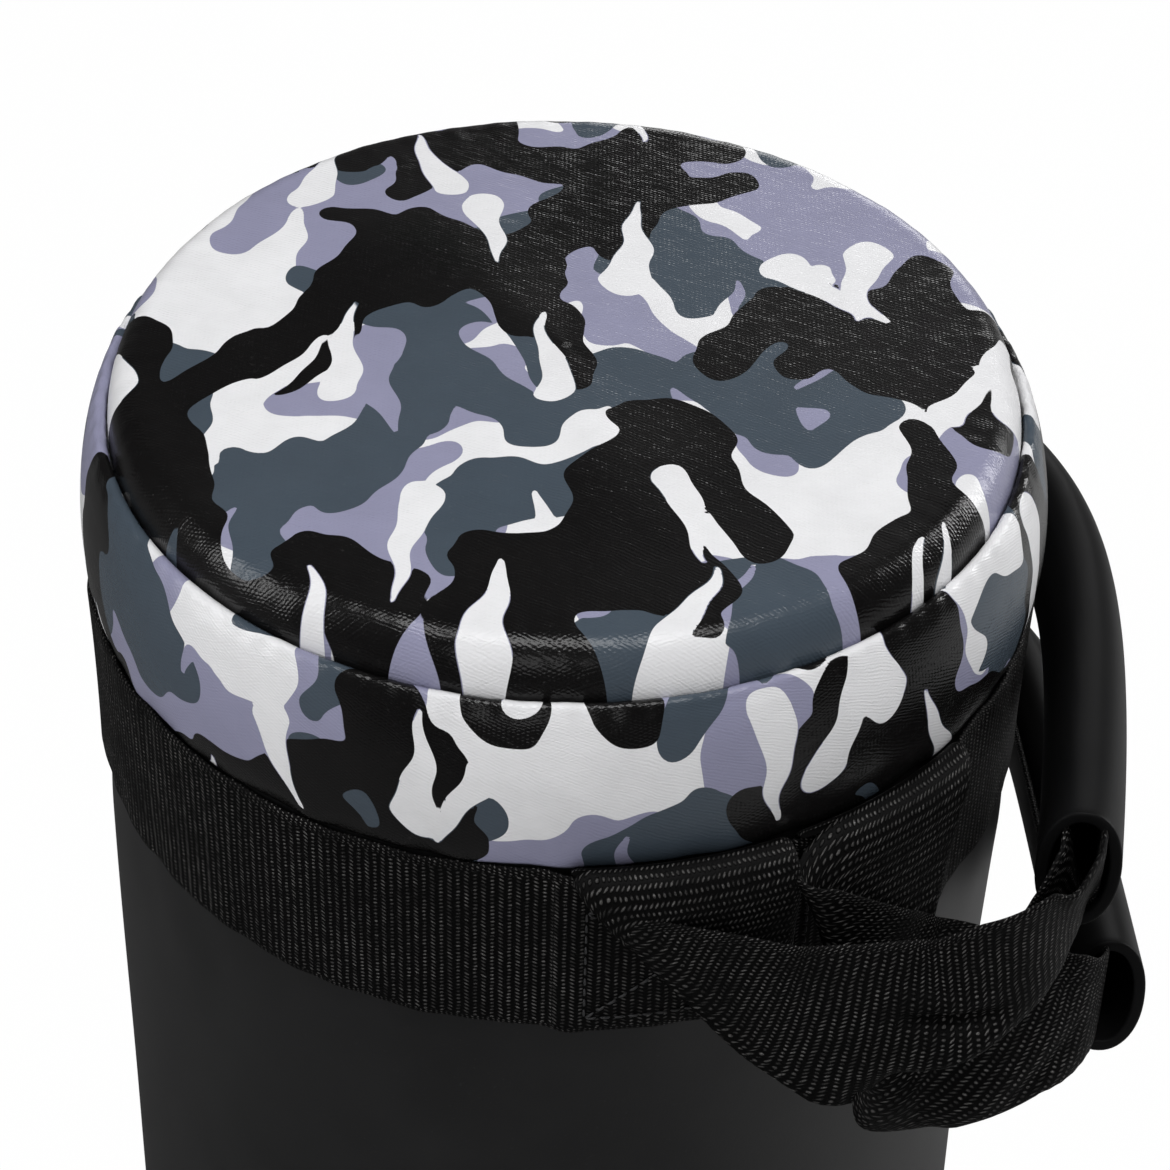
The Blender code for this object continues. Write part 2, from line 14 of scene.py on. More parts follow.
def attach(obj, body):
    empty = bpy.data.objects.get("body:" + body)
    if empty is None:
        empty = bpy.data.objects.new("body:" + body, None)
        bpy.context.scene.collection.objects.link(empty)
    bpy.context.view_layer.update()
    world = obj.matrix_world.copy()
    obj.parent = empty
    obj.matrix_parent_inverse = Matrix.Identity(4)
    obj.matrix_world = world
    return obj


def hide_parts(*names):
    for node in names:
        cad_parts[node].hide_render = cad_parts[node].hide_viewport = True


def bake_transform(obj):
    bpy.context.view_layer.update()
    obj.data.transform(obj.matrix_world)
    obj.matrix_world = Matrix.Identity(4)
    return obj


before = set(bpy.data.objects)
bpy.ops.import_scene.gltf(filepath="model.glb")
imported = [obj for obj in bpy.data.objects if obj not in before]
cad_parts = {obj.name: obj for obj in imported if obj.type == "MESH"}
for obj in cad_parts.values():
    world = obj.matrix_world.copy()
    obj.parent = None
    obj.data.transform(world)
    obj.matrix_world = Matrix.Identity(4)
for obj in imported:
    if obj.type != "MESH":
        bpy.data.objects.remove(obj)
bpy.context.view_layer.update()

# Sizes of the bag, as the frame has them. A cap's heights are counted from its own seam with
# the sleeve, and the groove is the stitched seam between the panel and the skirt.
SEAM_Z = 0.5438
CAP_HEIGHT = 0.0562
SLEEVE_R = 0.1132
SKIRT_R = 0.1150
GROOVE_R = 0.1063
GROOVE_HEIGHT = 0.0410
BAND_INNER = 0.1153
BAND_OUTER = 0.1168
WEBBING = 0.050
WEBBING_THICK = 0.0016
LINING_R = 0.1117

# The handles' frame: side runs along the chord between the roots, reach away from the axis.
# A strap's width is laid round the bag at the strap's arc radius.
PAIR_AZIMUTH = 26.65
HALF_PITCH = 12.75
CHORD = 0.02578
STRAP_ARC_R = 0.1185
UP = np.array([0, 0, 1.0])
SIDE = np.array([math.sin(math.radians(PAIR_AZIMUTH)), -math.cos(math.radians(PAIR_AZIMUTH)), 0.0])
REACH = np.array([math.cos(math.radians(PAIR_AZIMUTH)), math.sin(math.radians(PAIR_AZIMUTH)), 0.0])

# Photograph's view
FOCAL_SHARE = 3244.7 / 1170.0
SENSOR = 36.0
CAMERA_PLACE = (0.0, -0.6107, 1.0472)
ELEVATION = math.radians(40.376)
ROLL = math.radians(1.346)
SIDE_AIM = 0.00738


# Grids and meshes

def link_object(name, data):
    """A new object in the scene."""
    made = bpy.data.objects.new(name, data)
    bpy.context.scene.collection.objects.link(made)
    return made


def link_mesh(name, points, *groups):
    """A smooth-shaded piece from points and groups of faces, each an array [face, corner]."""
    corners = np.concatenate([faces.ravel() for faces in groups])
    sizes = np.concatenate([np.full(len(faces), faces.shape[1]) for faces in groups])
    mesh = bpy.data.meshes.new(name)
    mesh.vertices.add(len(points))
    mesh.vertices.foreach_set("co", points.astype(np.float32).ravel())
    mesh.loops.add(len(corners))
    mesh.loops.foreach_set("vertex_index", corners.astype(np.int32))
    mesh.polygons.add(len(sizes))
    mesh.polygons.foreach_set("loop_start", (np.cumsum(sizes) - sizes).astype(np.int32))
    mesh.update(calc_edges=True)
    mesh.polygons.foreach_set("use_smooth", np.ones(len(sizes), bool))
    return link_object(name, mesh)


def mesh_piece(name, points, wrap_u=True, wrap_v=True, uv=None, fields=None, poles=False):
    """A mesh over a grid of points [u, v, 3].

    Neighbouring rows and columns are joined by four-sided faces, round the end too where wrap
    says so. Poles close the first and last columns with a fan round one point each. The UV
    grid is in metres, and one longer than the points where the surface wraps.
    """
    count_u, count_v = points.shape[:2]
    index = np.arange(count_u * count_v).reshape(count_u, count_v)
    step_u, step_v = np.roll(index, -1, 0), np.roll(index, -1, 1)
    stop_u = count_u if wrap_u else count_u - 1
    stop_v = count_v if wrap_v else count_v - 1
    corners = [grid[:stop_u, :stop_v] for grid in (index, step_u, np.roll(step_u, -1, 1), step_v)]
    faces = [np.stack(corners, -1).reshape(-1, 4)]
    flat = points.reshape(-1, 3)
    if poles:
        flat = np.vstack([flat, points[:, 0].mean(0), points[:, -1].mean(0)])
        first, last = index[:, 0], index[:, -1]
        centre = np.full(count_u, index.size)
        faces.append(np.vstack([np.stack([np.roll(first, -1), first, centre], -1),
                                np.stack([last, np.roll(last, -1), centre + 1], -1)]))
    piece = link_mesh(name, flat, *faces)
    mesh = piece.data
    if uv is not None:
        corners = [uv[du:stop_u + du, dv:stop_v + dv]
                   for du, dv in ((0, 0), (1, 0), (1, 1), (0, 1))]
        places = [np.stack(corners, 2).reshape(-1, 2)]
        if poles:
            grid_uv = uv[:count_u, :count_v].reshape(-1, 2)
            places.append(grid_uv[np.minimum(faces[1], index.size - 1)].reshape(-1, 2))
        layer = mesh.uv_layers.new(name="cloth_uv")
        layer.data.foreach_set("uv", np.vstack(places).astype(np.float32).ravel())
    for label, values in (fields or {}).items():
        data = values.ravel()
        if poles:
            data = np.concatenate([data, [values[:, 0].mean(), values[:, -1].mean()]])
        made = mesh.attributes.new(label, "FLOAT", "POINT")
        made.data.foreach_set("value", data.astype(np.float32))
    mesh.validate()
    return piece


def close_mesh(mesh, *caps):
    """Add a face over each run of vertices given, and turn all faces outward."""
    work = bmesh.new()
    work.from_mesh(mesh)
    work.verts.ensure_lookup_table()
    for cap in caps:
        work.faces.new([work.verts[i] for i in cap])
    bmesh.ops.recalc_face_normals(work, faces=work.faces)
    work.to_mesh(mesh)
    work.free()


def close_strap(mesh, rows, columns):
    """Cap the two ends of a strap with one face each."""
    close_mesh(mesh, range(columns), range(rows * columns - 1, (rows - 1) * columns - 1, -1))


def dress(piece, mat):
    """Give a piece its material. A material is named after its slot, and
    Blender adds a number where the frame's own material has that name."""
    piece.data.materials.append(mat)


def finish_piece(piece, mat, body, *nodes):
    """Dress a piece, give it its body, and hide the CAD nodes that it stands for."""
    dress(piece, mat)
    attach(piece, body)
    if nodes:
        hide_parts(*nodes)


def spline(knots, at):
    """Smooth curve through knots [t, value...]: each stretch is a cubic whose slopes at the
    knots are those of the parabola through the neighbours. Past the ends it runs straight."""
    knots = np.asarray(knots, float)
    t, values = knots[:, 0], knots[:, 1:]
    span = np.diff(t)[:, None]
    slope = np.diff(values, axis=0) / span
    inner = (slope[:-1] * span[1:] + slope[1:] * span[:-1]) / (span[:-1] + span[1:])
    ends = np.vstack([2 * slope[:1] - inner[:1], inner, 2 * slope[-1:] - inner[-1:]])
    at = np.asarray(at, float)
    k = np.clip(np.searchsorted(t, at) - 1, 0, len(t) - 2)
    h = span[k]
    share = (at - t[k])[..., None] / h
    x = np.clip(share, 0, 1)
    cubic = (values[k] * (2 * x ** 3 - 3 * x ** 2 + 1) + values[k + 1] * (3 * x ** 2 - 2 * x ** 3)
             + h * ends[k] * (x ** 3 - 2 * x ** 2 + x) + h * ends[k + 1] * (x ** 3 - x ** 2))
    return cubic + np.minimum(share, 0) * h * ends[k] + np.maximum(share - 1, 0) * h * ends[k + 1]


def lengths(points):
    """Length along a polyline at each of its points."""
    return np.concatenate([[0], np.cumsum(np.linalg.norm(np.diff(points, axis=0), axis=1))])


def even_run(points, count):
    """Points at equal lengths along a polyline, and its length."""
    run = lengths(points)
    even = np.linspace(0, run[-1], count)
    return np.stack([np.interp(even, run, column) for column in points.T], -1), run[-1]


def dense(profile, count):
    """Points spaced evenly along a smooth curve through profile points."""
    length = lengths(profile)
    fine = spline(np.column_stack([length, profile]), np.linspace(0, length[-1], count * 8))
    return even_run(fine, count)[0]


def ease(x):
    """0 below 0, 1 above 1, and a smooth step between."""
    x = np.clip(x, 0.0, 1.0)
    return x * x * (3 - 2 * x)


def bell(x, half):
    """Bell curve: 1 at 0, and e times less at the half width."""
    return np.exp(-(x / half) ** 2)


def unit(v):
    """Vectors scaled to length 1."""
    return v / np.linalg.norm(v, axis=-1, keepdims=True)


def circle(steps):
    """Angles of evenly spaced steps round a full turn."""
    return np.linspace(0, 2 * np.pi, steps, endpoint=False)


def ripple(angle, waves):
    """Sum of sines of an angle: each wave is (count round the circle, height, phase)."""
    return sum(height * np.sin(count * angle + phase) for count, height, phase in waves)


def around(azimuth, radius, z):
    """Points at azimuths in radians, radii and heights."""
    return np.stack(np.broadcast_arrays(radius * np.sin(azimuth), -radius * np.cos(azimuth), z), -1)


def round_bag(azimuth):
    """Level unit vectors that point round the bag at azimuths in radians."""
    return np.stack([np.cos(azimuth), np.sin(azimuth), np.zeros_like(azimuth)], -1)


def to_back(points):
    """Mirror image across the pair's middle plane, from the front roots to the back ones."""
    return points - 2 * (points @ SIDE)[..., None] * SIDE


def cloth_map(along, across):
    """UV grid from lengths along the cloth and across it."""
    return np.stack(np.broadcast_arrays(along, across), -1)


# Camouflage: own layout from seeded blobs

STROKE_SOFT = 0.0013
PRINT_BOX = (-0.13, 0.13, -0.13, 0.13)
# Lilac, slate and black: pitch across and up the cloth, blob size, arms, bumps and cuts of a
# blob, and the share of blobs that are kept
PRINT_PLANS = ((0.043, 0.056, 0.050, 3, 4, 0, 0.84), (0.046, 0.058, 0.048, 3, 4, 1, 0.80),
               (0.062, 0.070, 0.058, 5, 5, 2, 0.88))


def towards(angle):
    """Unit vector on the cloth at an angle."""
    return np.array([math.cos(angle), math.sin(angle)])


def up_or_down(draw, share_down, spread):
    """An angle near straight down for a share of the draws, and else near straight up."""
    return (-1 if draw.random_sample() < share_down else 1) * math.pi / 2 + draw.normal(0, spread)


def blob_strokes(draw, centre, size, arms, bumps, cuts):
    """One lobed blob: tapered strokes (x0, y0, x1, y1, r0, r1) that add, and others that cut.

    A chain of thick strokes makes the body. Arms leave it mostly up or down the cloth and end
    round, small bumps sit along its rim, and thin wedges cut in between the arms.
    """
    heading = math.pi / 2 + draw.normal(0, 0.75)
    point = np.array(centre) - 0.30 * size * towards(heading)
    spine = [point]
    for _ in range(3):
        heading += draw.normal(0, 0.75)
        point = point + size * draw.uniform(0.20, 0.34) * towards(heading)
        spine.append(point)
    radii = size * draw.uniform(0.11, 0.21, len(spine))
    adds = [(*spine[k], *spine[k + 1], radii[k], radii[k + 1]) for k in range(len(spine) - 1)]
    for _ in range(arms):
        k = draw.randint(0, len(spine))
        way = up_or_down(draw, 0.62, 0.42)
        if draw.random_sample() < 0.22:
            way += math.pi / 2
        place = spine[k] + radii[k] * np.array([draw.uniform(-0.9, 0.9), 0])
        thick = draw.uniform(0.0046, 0.0066)
        reach = radii[k] + draw.uniform(0.010, 0.028)
        for _ in range(3):
            way += draw.normal(0, 0.22)
            after = place + reach / 3 * towards(way)
            next_thick = thick * draw.uniform(0.82, 1.22)
            adds.append((*place, *after, thick, next_thick))
            place, thick = after, next_thick
    for _ in range(bumps):
        k = draw.randint(0, len(spine))
        way = draw.uniform(0, 2 * math.pi)
        at = spine[k] + radii[k] * draw.uniform(0.85, 1.15) * towards(way)
        grow = draw.uniform(0.0030, 0.0055)
        adds.append((*at, *(at + 0.004 * towards(way + 1.5)), grow, grow * 0.8))
    holes = []
    for _ in range(cuts):
        k = draw.randint(0, len(spine))
        way = up_or_down(draw, 0.7, 0.3)
        tip = spine[k] + radii[k] * np.array([draw.uniform(-0.7, 0.7), draw.uniform(-0.3, 0.6)])
        far = tip + draw.uniform(0.020, 0.036) * towards(way)
        holes.append((*tip, *far, 0.0006, draw.uniform(0.0042, 0.0068)))
    return adds, holes


def stroke_sum(strokes, x, y):
    """Sum of exp(depth inside a stroke / softness) over tapered strokes at points."""
    total = np.zeros(x.shape)
    for x0, y0, x1, y1, r0, r1 in strokes:
        dx, dy = x1 - x0, y1 - y0
        share = np.clip(((x - x0) * dx + (y - y0) * dy) / (dx * dx + dy * dy + 1e-12), 0, 1)
        gap = np.hypot(x - x0 - share * dx, y - y0 - share * dy)
        total += np.exp(np.clip((r0 + (r1 - r0) * share - gap) / STROKE_SOFT, -40, 40))
    return total


def camo_layer(seed, x, y, box, plan, wrap):
    """Signed field of one colour of the print, positive inside, and the field of its cuts.

    The cloth wavers by up to a millimetre under the blobs. With wrap, the strip meets itself
    at that length: waves and pitch divide it evenly, and each blob is drawn a length to
    either side as well.
    """
    pitch_x, pitch_y, size, arms, bumps, cuts, keep = plan
    draw = np.random.RandomState(seed)
    bend = draw.uniform(0, 6.28, 4)
    slow, middle, fast = 200.0, 240.0, 450.0
    if wrap:
        turn = 2 * math.pi / wrap
        slow, middle, fast = (round(k / turn) * turn for k in (slow, middle, fast))
    wx = x + 0.0009 * np.sin(y * 250 + bend[0]) + 0.0004 * np.sin(y * 480 + x * slow + bend[1])
    wy = y + 0.0009 * np.sin(x * middle + bend[2]) + 0.0004 * np.sin(x * fast - y * 240 + bend[3])
    flat_x, flat_y = wx.ravel(), wy.ravel()
    total, cut = np.zeros(flat_x.shape), np.zeros(flat_x.shape)
    rows = int(math.ceil((box[3] - box[2]) / pitch_y)) + 1
    columns = int(math.ceil((box[1] - box[0]) / pitch_x)) + 1
    if wrap:
        columns = int(round(wrap / pitch_x))
        pitch_x = wrap / columns
    for row in range(rows):
        for column in range(columns):
            at = (box[0] + (column + 0.5 * (row % 2)) * pitch_x
                  + draw.uniform(-0.25, 0.25) * pitch_x,
                  box[2] + row * pitch_y + draw.uniform(-0.25, 0.25) * pitch_y)
            adds, holes = blob_strokes(draw, at, size * draw.uniform(0.72, 1.25), arms, bumps, cuts)
            if draw.random_sample() > keep:
                continue
            for shift in ((-wrap, 0.0, wrap) if wrap else (0.0,)):
                place_x = flat_x - shift
                near = np.flatnonzero((np.abs(place_x - at[0]) < size * 1.3)
                                      & (np.abs(flat_y - at[1]) < size * 1.5))
                if len(near):
                    total[near] += stroke_sum(adds, place_x[near], flat_y[near])
                    cut[near] += stroke_sum(holes, place_x[near], flat_y[near])
    return [np.clip(STROKE_SOFT * np.log(np.maximum(v, 1e-16)), -0.02, 0.02).reshape(x.shape)
            for v in (total, cut)]


def camo_fields(x, y, seed, box, wrap=0.0):
    """The three print fields over a piece of cloth. Black lies over the other two, and its
    cuts show the cloth."""
    (lilac, lilac_cut), (slate, slate_cut), (black, black_cut) = [
        camo_layer(seed + k + 1, x, y, box, plan, wrap) for k, plan in enumerate(PRINT_PLANS)]
    return {"print_lilac": np.minimum(lilac, -np.maximum(lilac_cut, black_cut - 0.0002)),
            "print_slate": np.minimum(slate, -np.maximum(slate_cut, black_cut - 0.0002)),
            "print_black": np.minimum(black, -black_cut)}


# Shader building blocks

def put(tree, target, value):
    """Link a socket, or set a plain value."""
    if isinstance(value, bpy.types.NodeSocket):
        tree.links.new(value, target)
    else:
        target.default_value = value


def node(tree, kind, **values):
    """A node with its properties and input sockets set. A socket value may be another socket."""
    made = tree.nodes.new(kind)
    for key, value in values.items():
        if key.startswith("in_"):
            label = key[3:]
            put(tree, made.inputs[int(label) if label.isdigit() else label], value)
        else:
            setattr(made, key, value)
    return made


def calc(tree, operation, a, b=0.0, c=0.0, clamp=False):
    """Result of a Math node."""
    return node(tree, "ShaderNodeMath", operation=operation, use_clamp=clamp,
                in_0=a, in_1=b, in_2=c).outputs[0]


def scaled(tree, value, gain, offset):
    """Gain times value, plus offset."""
    return calc(tree, "MULTIPLY_ADD", value, gain, offset)


def ramp(tree, value, gain, offset):
    """Gain times value, plus offset, kept between 0 and 1."""
    return calc(tree, "MULTIPLY_ADD", value, gain, offset, clamp=True)


def times(tree, first, *others):
    """Product of values."""
    for other in others:
        first = calc(tree, "MULTIPLY", first, other)
    return first


def blend_colour(tree, share, a, b):
    """Mix of two colours."""
    return node(tree, "ShaderNodeMix", data_type="RGBA", in_0=share, in_6=a, in_7=b).outputs[2]


def noise(tree, vector, scale, detail=2.0, rough=0.5):
    """Value of a Noise texture."""
    return node(tree, "ShaderNodeTexNoise", in_Vector=vector, in_Scale=scale, in_Detail=detail,
                in_Roughness=rough).outputs[0]


def grey(tone):
    """A neutral colour."""
    return (tone, tone, tone, 1)


def new_group(name, sizes, outputs):
    """A shader node group that takes a vector and named sizes, and puts out named values. It
    gives the tree, its input sockets and its end node."""
    tree = bpy.data.node_groups.new(name, "ShaderNodeTree")
    tree.interface.new_socket("Vector", in_out="INPUT", socket_type="NodeSocketVector")
    for label, value in sizes:
        made = tree.interface.new_socket(label, in_out="INPUT", socket_type="NodeSocketFloat")
        made.default_value = value
    for label in outputs:
        tree.interface.new_socket(label, in_out="OUTPUT", socket_type="NodeSocketFloat")
    return tree, tree.nodes.new("NodeGroupInput").outputs, tree.nodes.new("NodeGroupOutput")


def make_weave_group():
    """Webbing: columns of slanted beads across the width, with a tight selvedge at each edge.

    Even columns slant one way, and odd ones slant the other way, are narrower and start half
    a bead later. A bead is an ellipse: 1 less the weighted squared distances from its middle
    across and along the column. The selvedge has smaller beads. The crowns get a painted glint,
    a mask for a lighter colour that stands in for their highlights, where fibres, the bead's own
    brightness and large soft patches let it.
    """
    tree, given, end = new_group(
        "webbing_weave",
        [("Column Pitch", 0.00195), ("Bead Pitch", 0.00115), ("Half Width", 0.025)],
        ["Height", "Painted Glint"])
    place = given["Vector"]
    parts = node(tree, "ShaderNodeSeparateXYZ", in_Vector=place).outputs
    wobble = noise(tree, place, 330.0, 1.0)
    along = scaled(tree, wobble, 0.30, calc(tree, "DIVIDE", parts[0], given["Column Pitch"]))
    across = scaled(tree, wobble, -0.35, calc(tree, "DIVIDE", parts[1], given["Bead Pitch"]))
    edge = calc(tree, "DIVIDE", calc(tree, "ABSOLUTE", parts[1]), given["Half Width"])
    selvedge = ramp(tree, edge, 40.0, -36.4)

    def beads(columns, rows, even_slant, odd_slant):
        """Height of the beads at a place, and the column and row of the one there."""
        column = calc(tree, "FLOOR", columns)
        inside = calc(tree, "SUBTRACT", calc(tree, "FRACT", columns), 0.5)
        odd = calc(tree, "MODULO", calc(tree, "ABSOLUTE", column), 2.0)
        slant = scaled(tree, odd, odd_slant - even_slant, even_slant)
        shifted = scaled(tree, odd, 0.5, scaled(tree, slant, inside, rows))
        row = calc(tree, "FLOOR", shifted)
        bead = calc(tree, "SUBTRACT", calc(tree, "FRACT", shifted), 0.5)
        weight = scaled(tree, odd, 2.0, 6.0)
        far = calc(tree, "ADD", times(tree, inside, inside, weight), times(tree, bead, bead, 7.0))
        return calc(tree, "SUBTRACT", 1.0, far, clamp=True), column, row

    body, column, row = beads(along, across, 0.80, -0.35)
    fine, *_ = beads(times(tree, along, 1.6), times(tree, across, 1.5), 0.6, 0.6)
    woven = times(tree, fine, selvedge)
    height = scaled(tree, woven, 0.6, times(tree, body, calc(tree, "SUBTRACT", 1.0, selvedge)))
    put(tree, end.inputs["Height"], height)
    cell = node(tree, "ShaderNodeCombineXYZ", in_X=column, in_Y=row).outputs[0]
    own = node(tree, "ShaderNodeTexWhiteNoise", noise_dimensions="2D",
               in_Vector=cell).outputs["Value"]
    # Painted glint on the bead crowns: a mask for a lighter colour in place of highlights.
    glint = ramp(tree, scaled(tree, woven, 0.4, height), 2.5, -1.05)
    fibre = ramp(tree, noise(tree, place, 2900.0), 2.6, -0.55)
    patch = ramp(tree, noise(tree, place, 60.0, 3.0), 2.2, -0.35)
    put(tree, end.inputs["Painted Glint"], times(tree, scaled(tree, own, 0.95, 0.20), fibre, patch, glint))
    return tree


def make_grain_group():
    """Vinyl emboss: two sets of fine wavering scratches that cross. A set is a sine across
    lines turned by the angle given, cut into short strokes by a stretched noise."""
    tree, given, end = new_group("vinyl_grain", [("Pitch", 0.0010), ("Turn", 0.55)],
                                 ["Height", "Mottle"])
    place = given["Vector"]
    wander = noise(tree, place, 110.0, 1.0)
    shake = noise(tree, place, 620.0)
    lines = []
    for way, share in ((1.0, 0.31), (-1.0, 0.23)):
        turned = node(tree, "ShaderNodeVectorRotate", rotation_type="Z_AXIS", in_Vector=place,
                      in_Angle=times(tree, given["Turn"], way)).outputs[0]
        across = node(tree, "ShaderNodeSeparateXYZ", in_Vector=turned).outputs[1]
        count = scaled(tree, wander, 2.4, calc(tree, "DIVIDE", across, given["Pitch"]))
        count = scaled(tree, shake, 0.8, count)
        wave = calc(tree, "SINE", times(tree, count, 2 * math.pi))
        stretched = node(tree, "ShaderNodeVectorMath", operation="MULTIPLY", in_0=turned,
                         in_1=(150.0, 900.0, 1.0)).outputs[0]
        deep = ramp(tree, noise(tree, stretched, 1.0, 1.0), 2.6, -0.75)
        lines.append(times(tree, wave, deep, share))
    crossed = calc(tree, "ADD", *lines)
    put(tree, end.inputs["Height"], scaled(tree, noise(tree, place, 2400.0), 0.22, crossed))
    put(tree, end.inputs["Mottle"], noise(tree, place, 55.0, 4.0, 0.6))
    return tree


def make_dust_group():
    """Faint dust and handling marks: large soft patches, and fine specks."""
    tree, given, end = new_group("dust", [("Amount", 0.3)], ["Mask"])
    soft = ramp(tree, noise(tree, given["Vector"], 14.0, 4.0, 0.62), 2.4, -0.95)
    specks = ramp(tree, noise(tree, given["Vector"], 900.0, 1.0), 5.0, -3.3)
    both = calc(tree, "MAXIMUM", times(tree, soft, 0.5), specks)
    put(tree, end.inputs["Mask"], times(tree, both, given["Amount"]))
    return tree


def use_group(tree, group, vector, **sizes):
    """Place a group in a material, set its inputs, and give its output sockets."""
    made = node(tree, "ShaderNodeGroup", node_tree=group)
    for label, value in {"Vector": vector, **sizes}.items():
        put(tree, made.inputs[label], value)
    return made.outputs


def new_material(name):
    """A material with only its Principled shader, and its tree."""
    mat = bpy.data.materials.new(name)
    mat.use_nodes = True
    return mat, mat.node_tree


def cloth_place(tree):
    """The piece's own cloth map."""
    return node(tree, "ShaderNodeUVMap", uv_map="cloth_uv").outputs[0]


def object_place(tree):
    """The piece's Object coordinates."""
    return tree.nodes.new("ShaderNodeTexCoord").outputs["Object"]


def dusted(tree, dust, amount, colour, tint):
    """A colour under dust of another."""
    mask = use_group(tree, dust, object_place(tree), Amount=amount)["Mask"]
    return blend_colour(tree, mask, colour, tint)


def set_skin(tree, colour, rough, specular, height, depth, strength=1.0):
    """Give the shader its colour, roughness and specular level, and a bump of some depth."""
    shader = tree.nodes["Principled BSDF"]
    put(tree, shader.inputs["Base Color"], colour)
    put(tree, shader.inputs["Roughness"], rough)
    shader.inputs["Specular IOR Level"].default_value = specular
    raised = node(tree, "ShaderNodeBump", in_Height=height, in_Distance=depth, in_Strength=strength)
    put(tree, shader.inputs["Normal"], raised.outputs[0])


def camo_material(grain, dust):
    """Printed vinyl: flat inks with crisp edges on an embossed, slightly glossy sheet."""
    mat, tree = new_material("camo_vinyl")
    skin = use_group(tree, grain, cloth_place(tree), Pitch=0.00092, Turn=0.45)
    colour = (0.765, 0.765, 0.780, 1)
    for label, ink in (("print_lilac", (0.262, 0.262, 0.375, 1)),
                       ("print_slate", (0.054, 0.072, 0.093, 1)),
                       ("print_black", (0.0040, 0.0037, 0.0038, 1))):
        field = node(tree, "ShaderNodeAttribute", attribute_name=label).outputs["Fac"]
        inked = ramp(tree, field, 9000.0, 0.5)
        colour = blend_colour(tree, inked, colour, ink)
    colour = blend_colour(tree, ramp(tree, skin["Mottle"], 0.24, -0.09), colour, grey(0.0))
    rough = scaled(tree, inked, -0.02, scaled(tree, skin["Mottle"], 0.10, 0.20))
    set_skin(tree, dusted(tree, dust, 0.035, colour, (0.35, 0.34, 0.33, 1)), rough, 0.36,
             skin["Height"], 0.00008)
    return mat


def sleeve_material(dust):
    """Smooth black vinyl: a fine pebble, a faint change of gloss and a little dust."""
    mat, tree = new_material("black_vinyl")
    vector = object_place(tree)
    rough = scaled(tree, noise(tree, vector, 9.0, 3.0), 0.18, 0.34)
    set_skin(tree, dusted(tree, dust, 0.16, (0.0085, 0.0085, 0.009, 1), grey(0.10)), rough, 0.45,
             noise(tree, vector, 1500.0, 3.0), 0.00004, 0.5)
    return mat


def webbing_material(weave, dust):
    """Black nylon webbing: beaded weave, with a painted glint, a lighter colour, on its crowns."""
    mat, tree = new_material("black_webbing")
    cloth = use_group(tree, weave, cloth_place(tree))
    # Painted glint: the colour is mixed to a lighter grey on the crowns, standing in for
    # highlights.
    yarn_with_painted_glint = blend_colour(tree, cloth["Painted Glint"], (0.0012, 0.0011, 0.0012, 1), (0.142, 0.138, 0.134, 1))
    set_skin(tree, dusted(tree, dust, 0.02, yarn_with_painted_glint, (0.12, 0.115, 0.11, 1)),
             scaled(tree, cloth["Painted Glint"], -0.30, 0.62), 0.11, cloth["Height"], 0.00050)
    return mat


def rubber_material(dust):
    """Matt extruded rubber: faint draw lines along the hose, bloom and dust."""
    mat, tree = new_material("black_rubber")
    drawn = node(tree, "ShaderNodeMapping", in_Vector=cloth_place(tree),
                 in_Scale=(40.0, 2600.0, 1.0))
    bloom = noise(tree, object_place(tree), 24.0, 5.0, 0.6)
    base = blend_colour(tree, bloom, (0.0028, 0.0028, 0.0030, 1), (0.0062, 0.0062, 0.0065, 1))
    set_skin(tree, dusted(tree, dust, 0.05, base, grey(0.10)), scaled(tree, bloom, 0.16, 0.36),
             0.085, noise(tree, drawn.outputs[0], 1.0), 0.00003, 0.6)
    return mat


def noisy_material(name, dark, light, pattern, rough, rougher, depth, strength):
    """Thread, foam, sacking or wadding: two tones of one colour in a cell or fibre pattern,
    a noise of (scale, detail, roughness), which also sets the gloss and the bump."""
    mat, tree = new_material(name)
    cells = noise(tree, object_place(tree), *pattern)
    set_skin(tree, blend_colour(tree, cells, (*dark, 1), (*light, 1)),
             scaled(tree, cells, rougher, rough), 0.5, cells, depth, strength)
    return mat


def make_materials():
    """All finishes."""
    weave, grain, dust = make_weave_group(), make_grain_group(), make_dust_group()
    mats = {"camo": camo_material(grain, dust), "vinyl": sleeve_material(dust),
            "webbing": webbing_material(weave, dust), "rubber": rubber_material(dust)}
    mats["thread"] = noisy_material("black_thread", (0.010, 0.010, 0.011), (0.05, 0.05, 0.052),
                                    (2600.0, 2.0, 0.5), 0.40, 0.2, 0.0001, 0.6)
    for key, name, dark, light, scale, rough, depth in (
        ("foam", "grey_foam", (0.20, 0.21, 0.22), (0.36, 0.37, 0.39), 700.0, 0.85, 0.0004),
        ("sack", "woven_sack", (0.48, 0.42, 0.32), (0.70, 0.64, 0.52), 500.0, 0.80, 0.0003),
        ("tie", "nylon_tie", (0.66, 0.66, 0.63), (0.80, 0.80, 0.77), 900.0, 0.40, 0.0001),
        ("wadding", "textile_wadding", (0.20, 0.19, 0.18), (0.50, 0.47, 0.44), 160.0, 0.90, 0.001),
    ):
        mats[key] = noisy_material(name, dark, light, (scale, 4.0, 0.7), rough, 0.1, depth, 0.8)
    return mats


# End caps. Sign is 1 for the upper one and -1 for the lower one, which stands upside down.

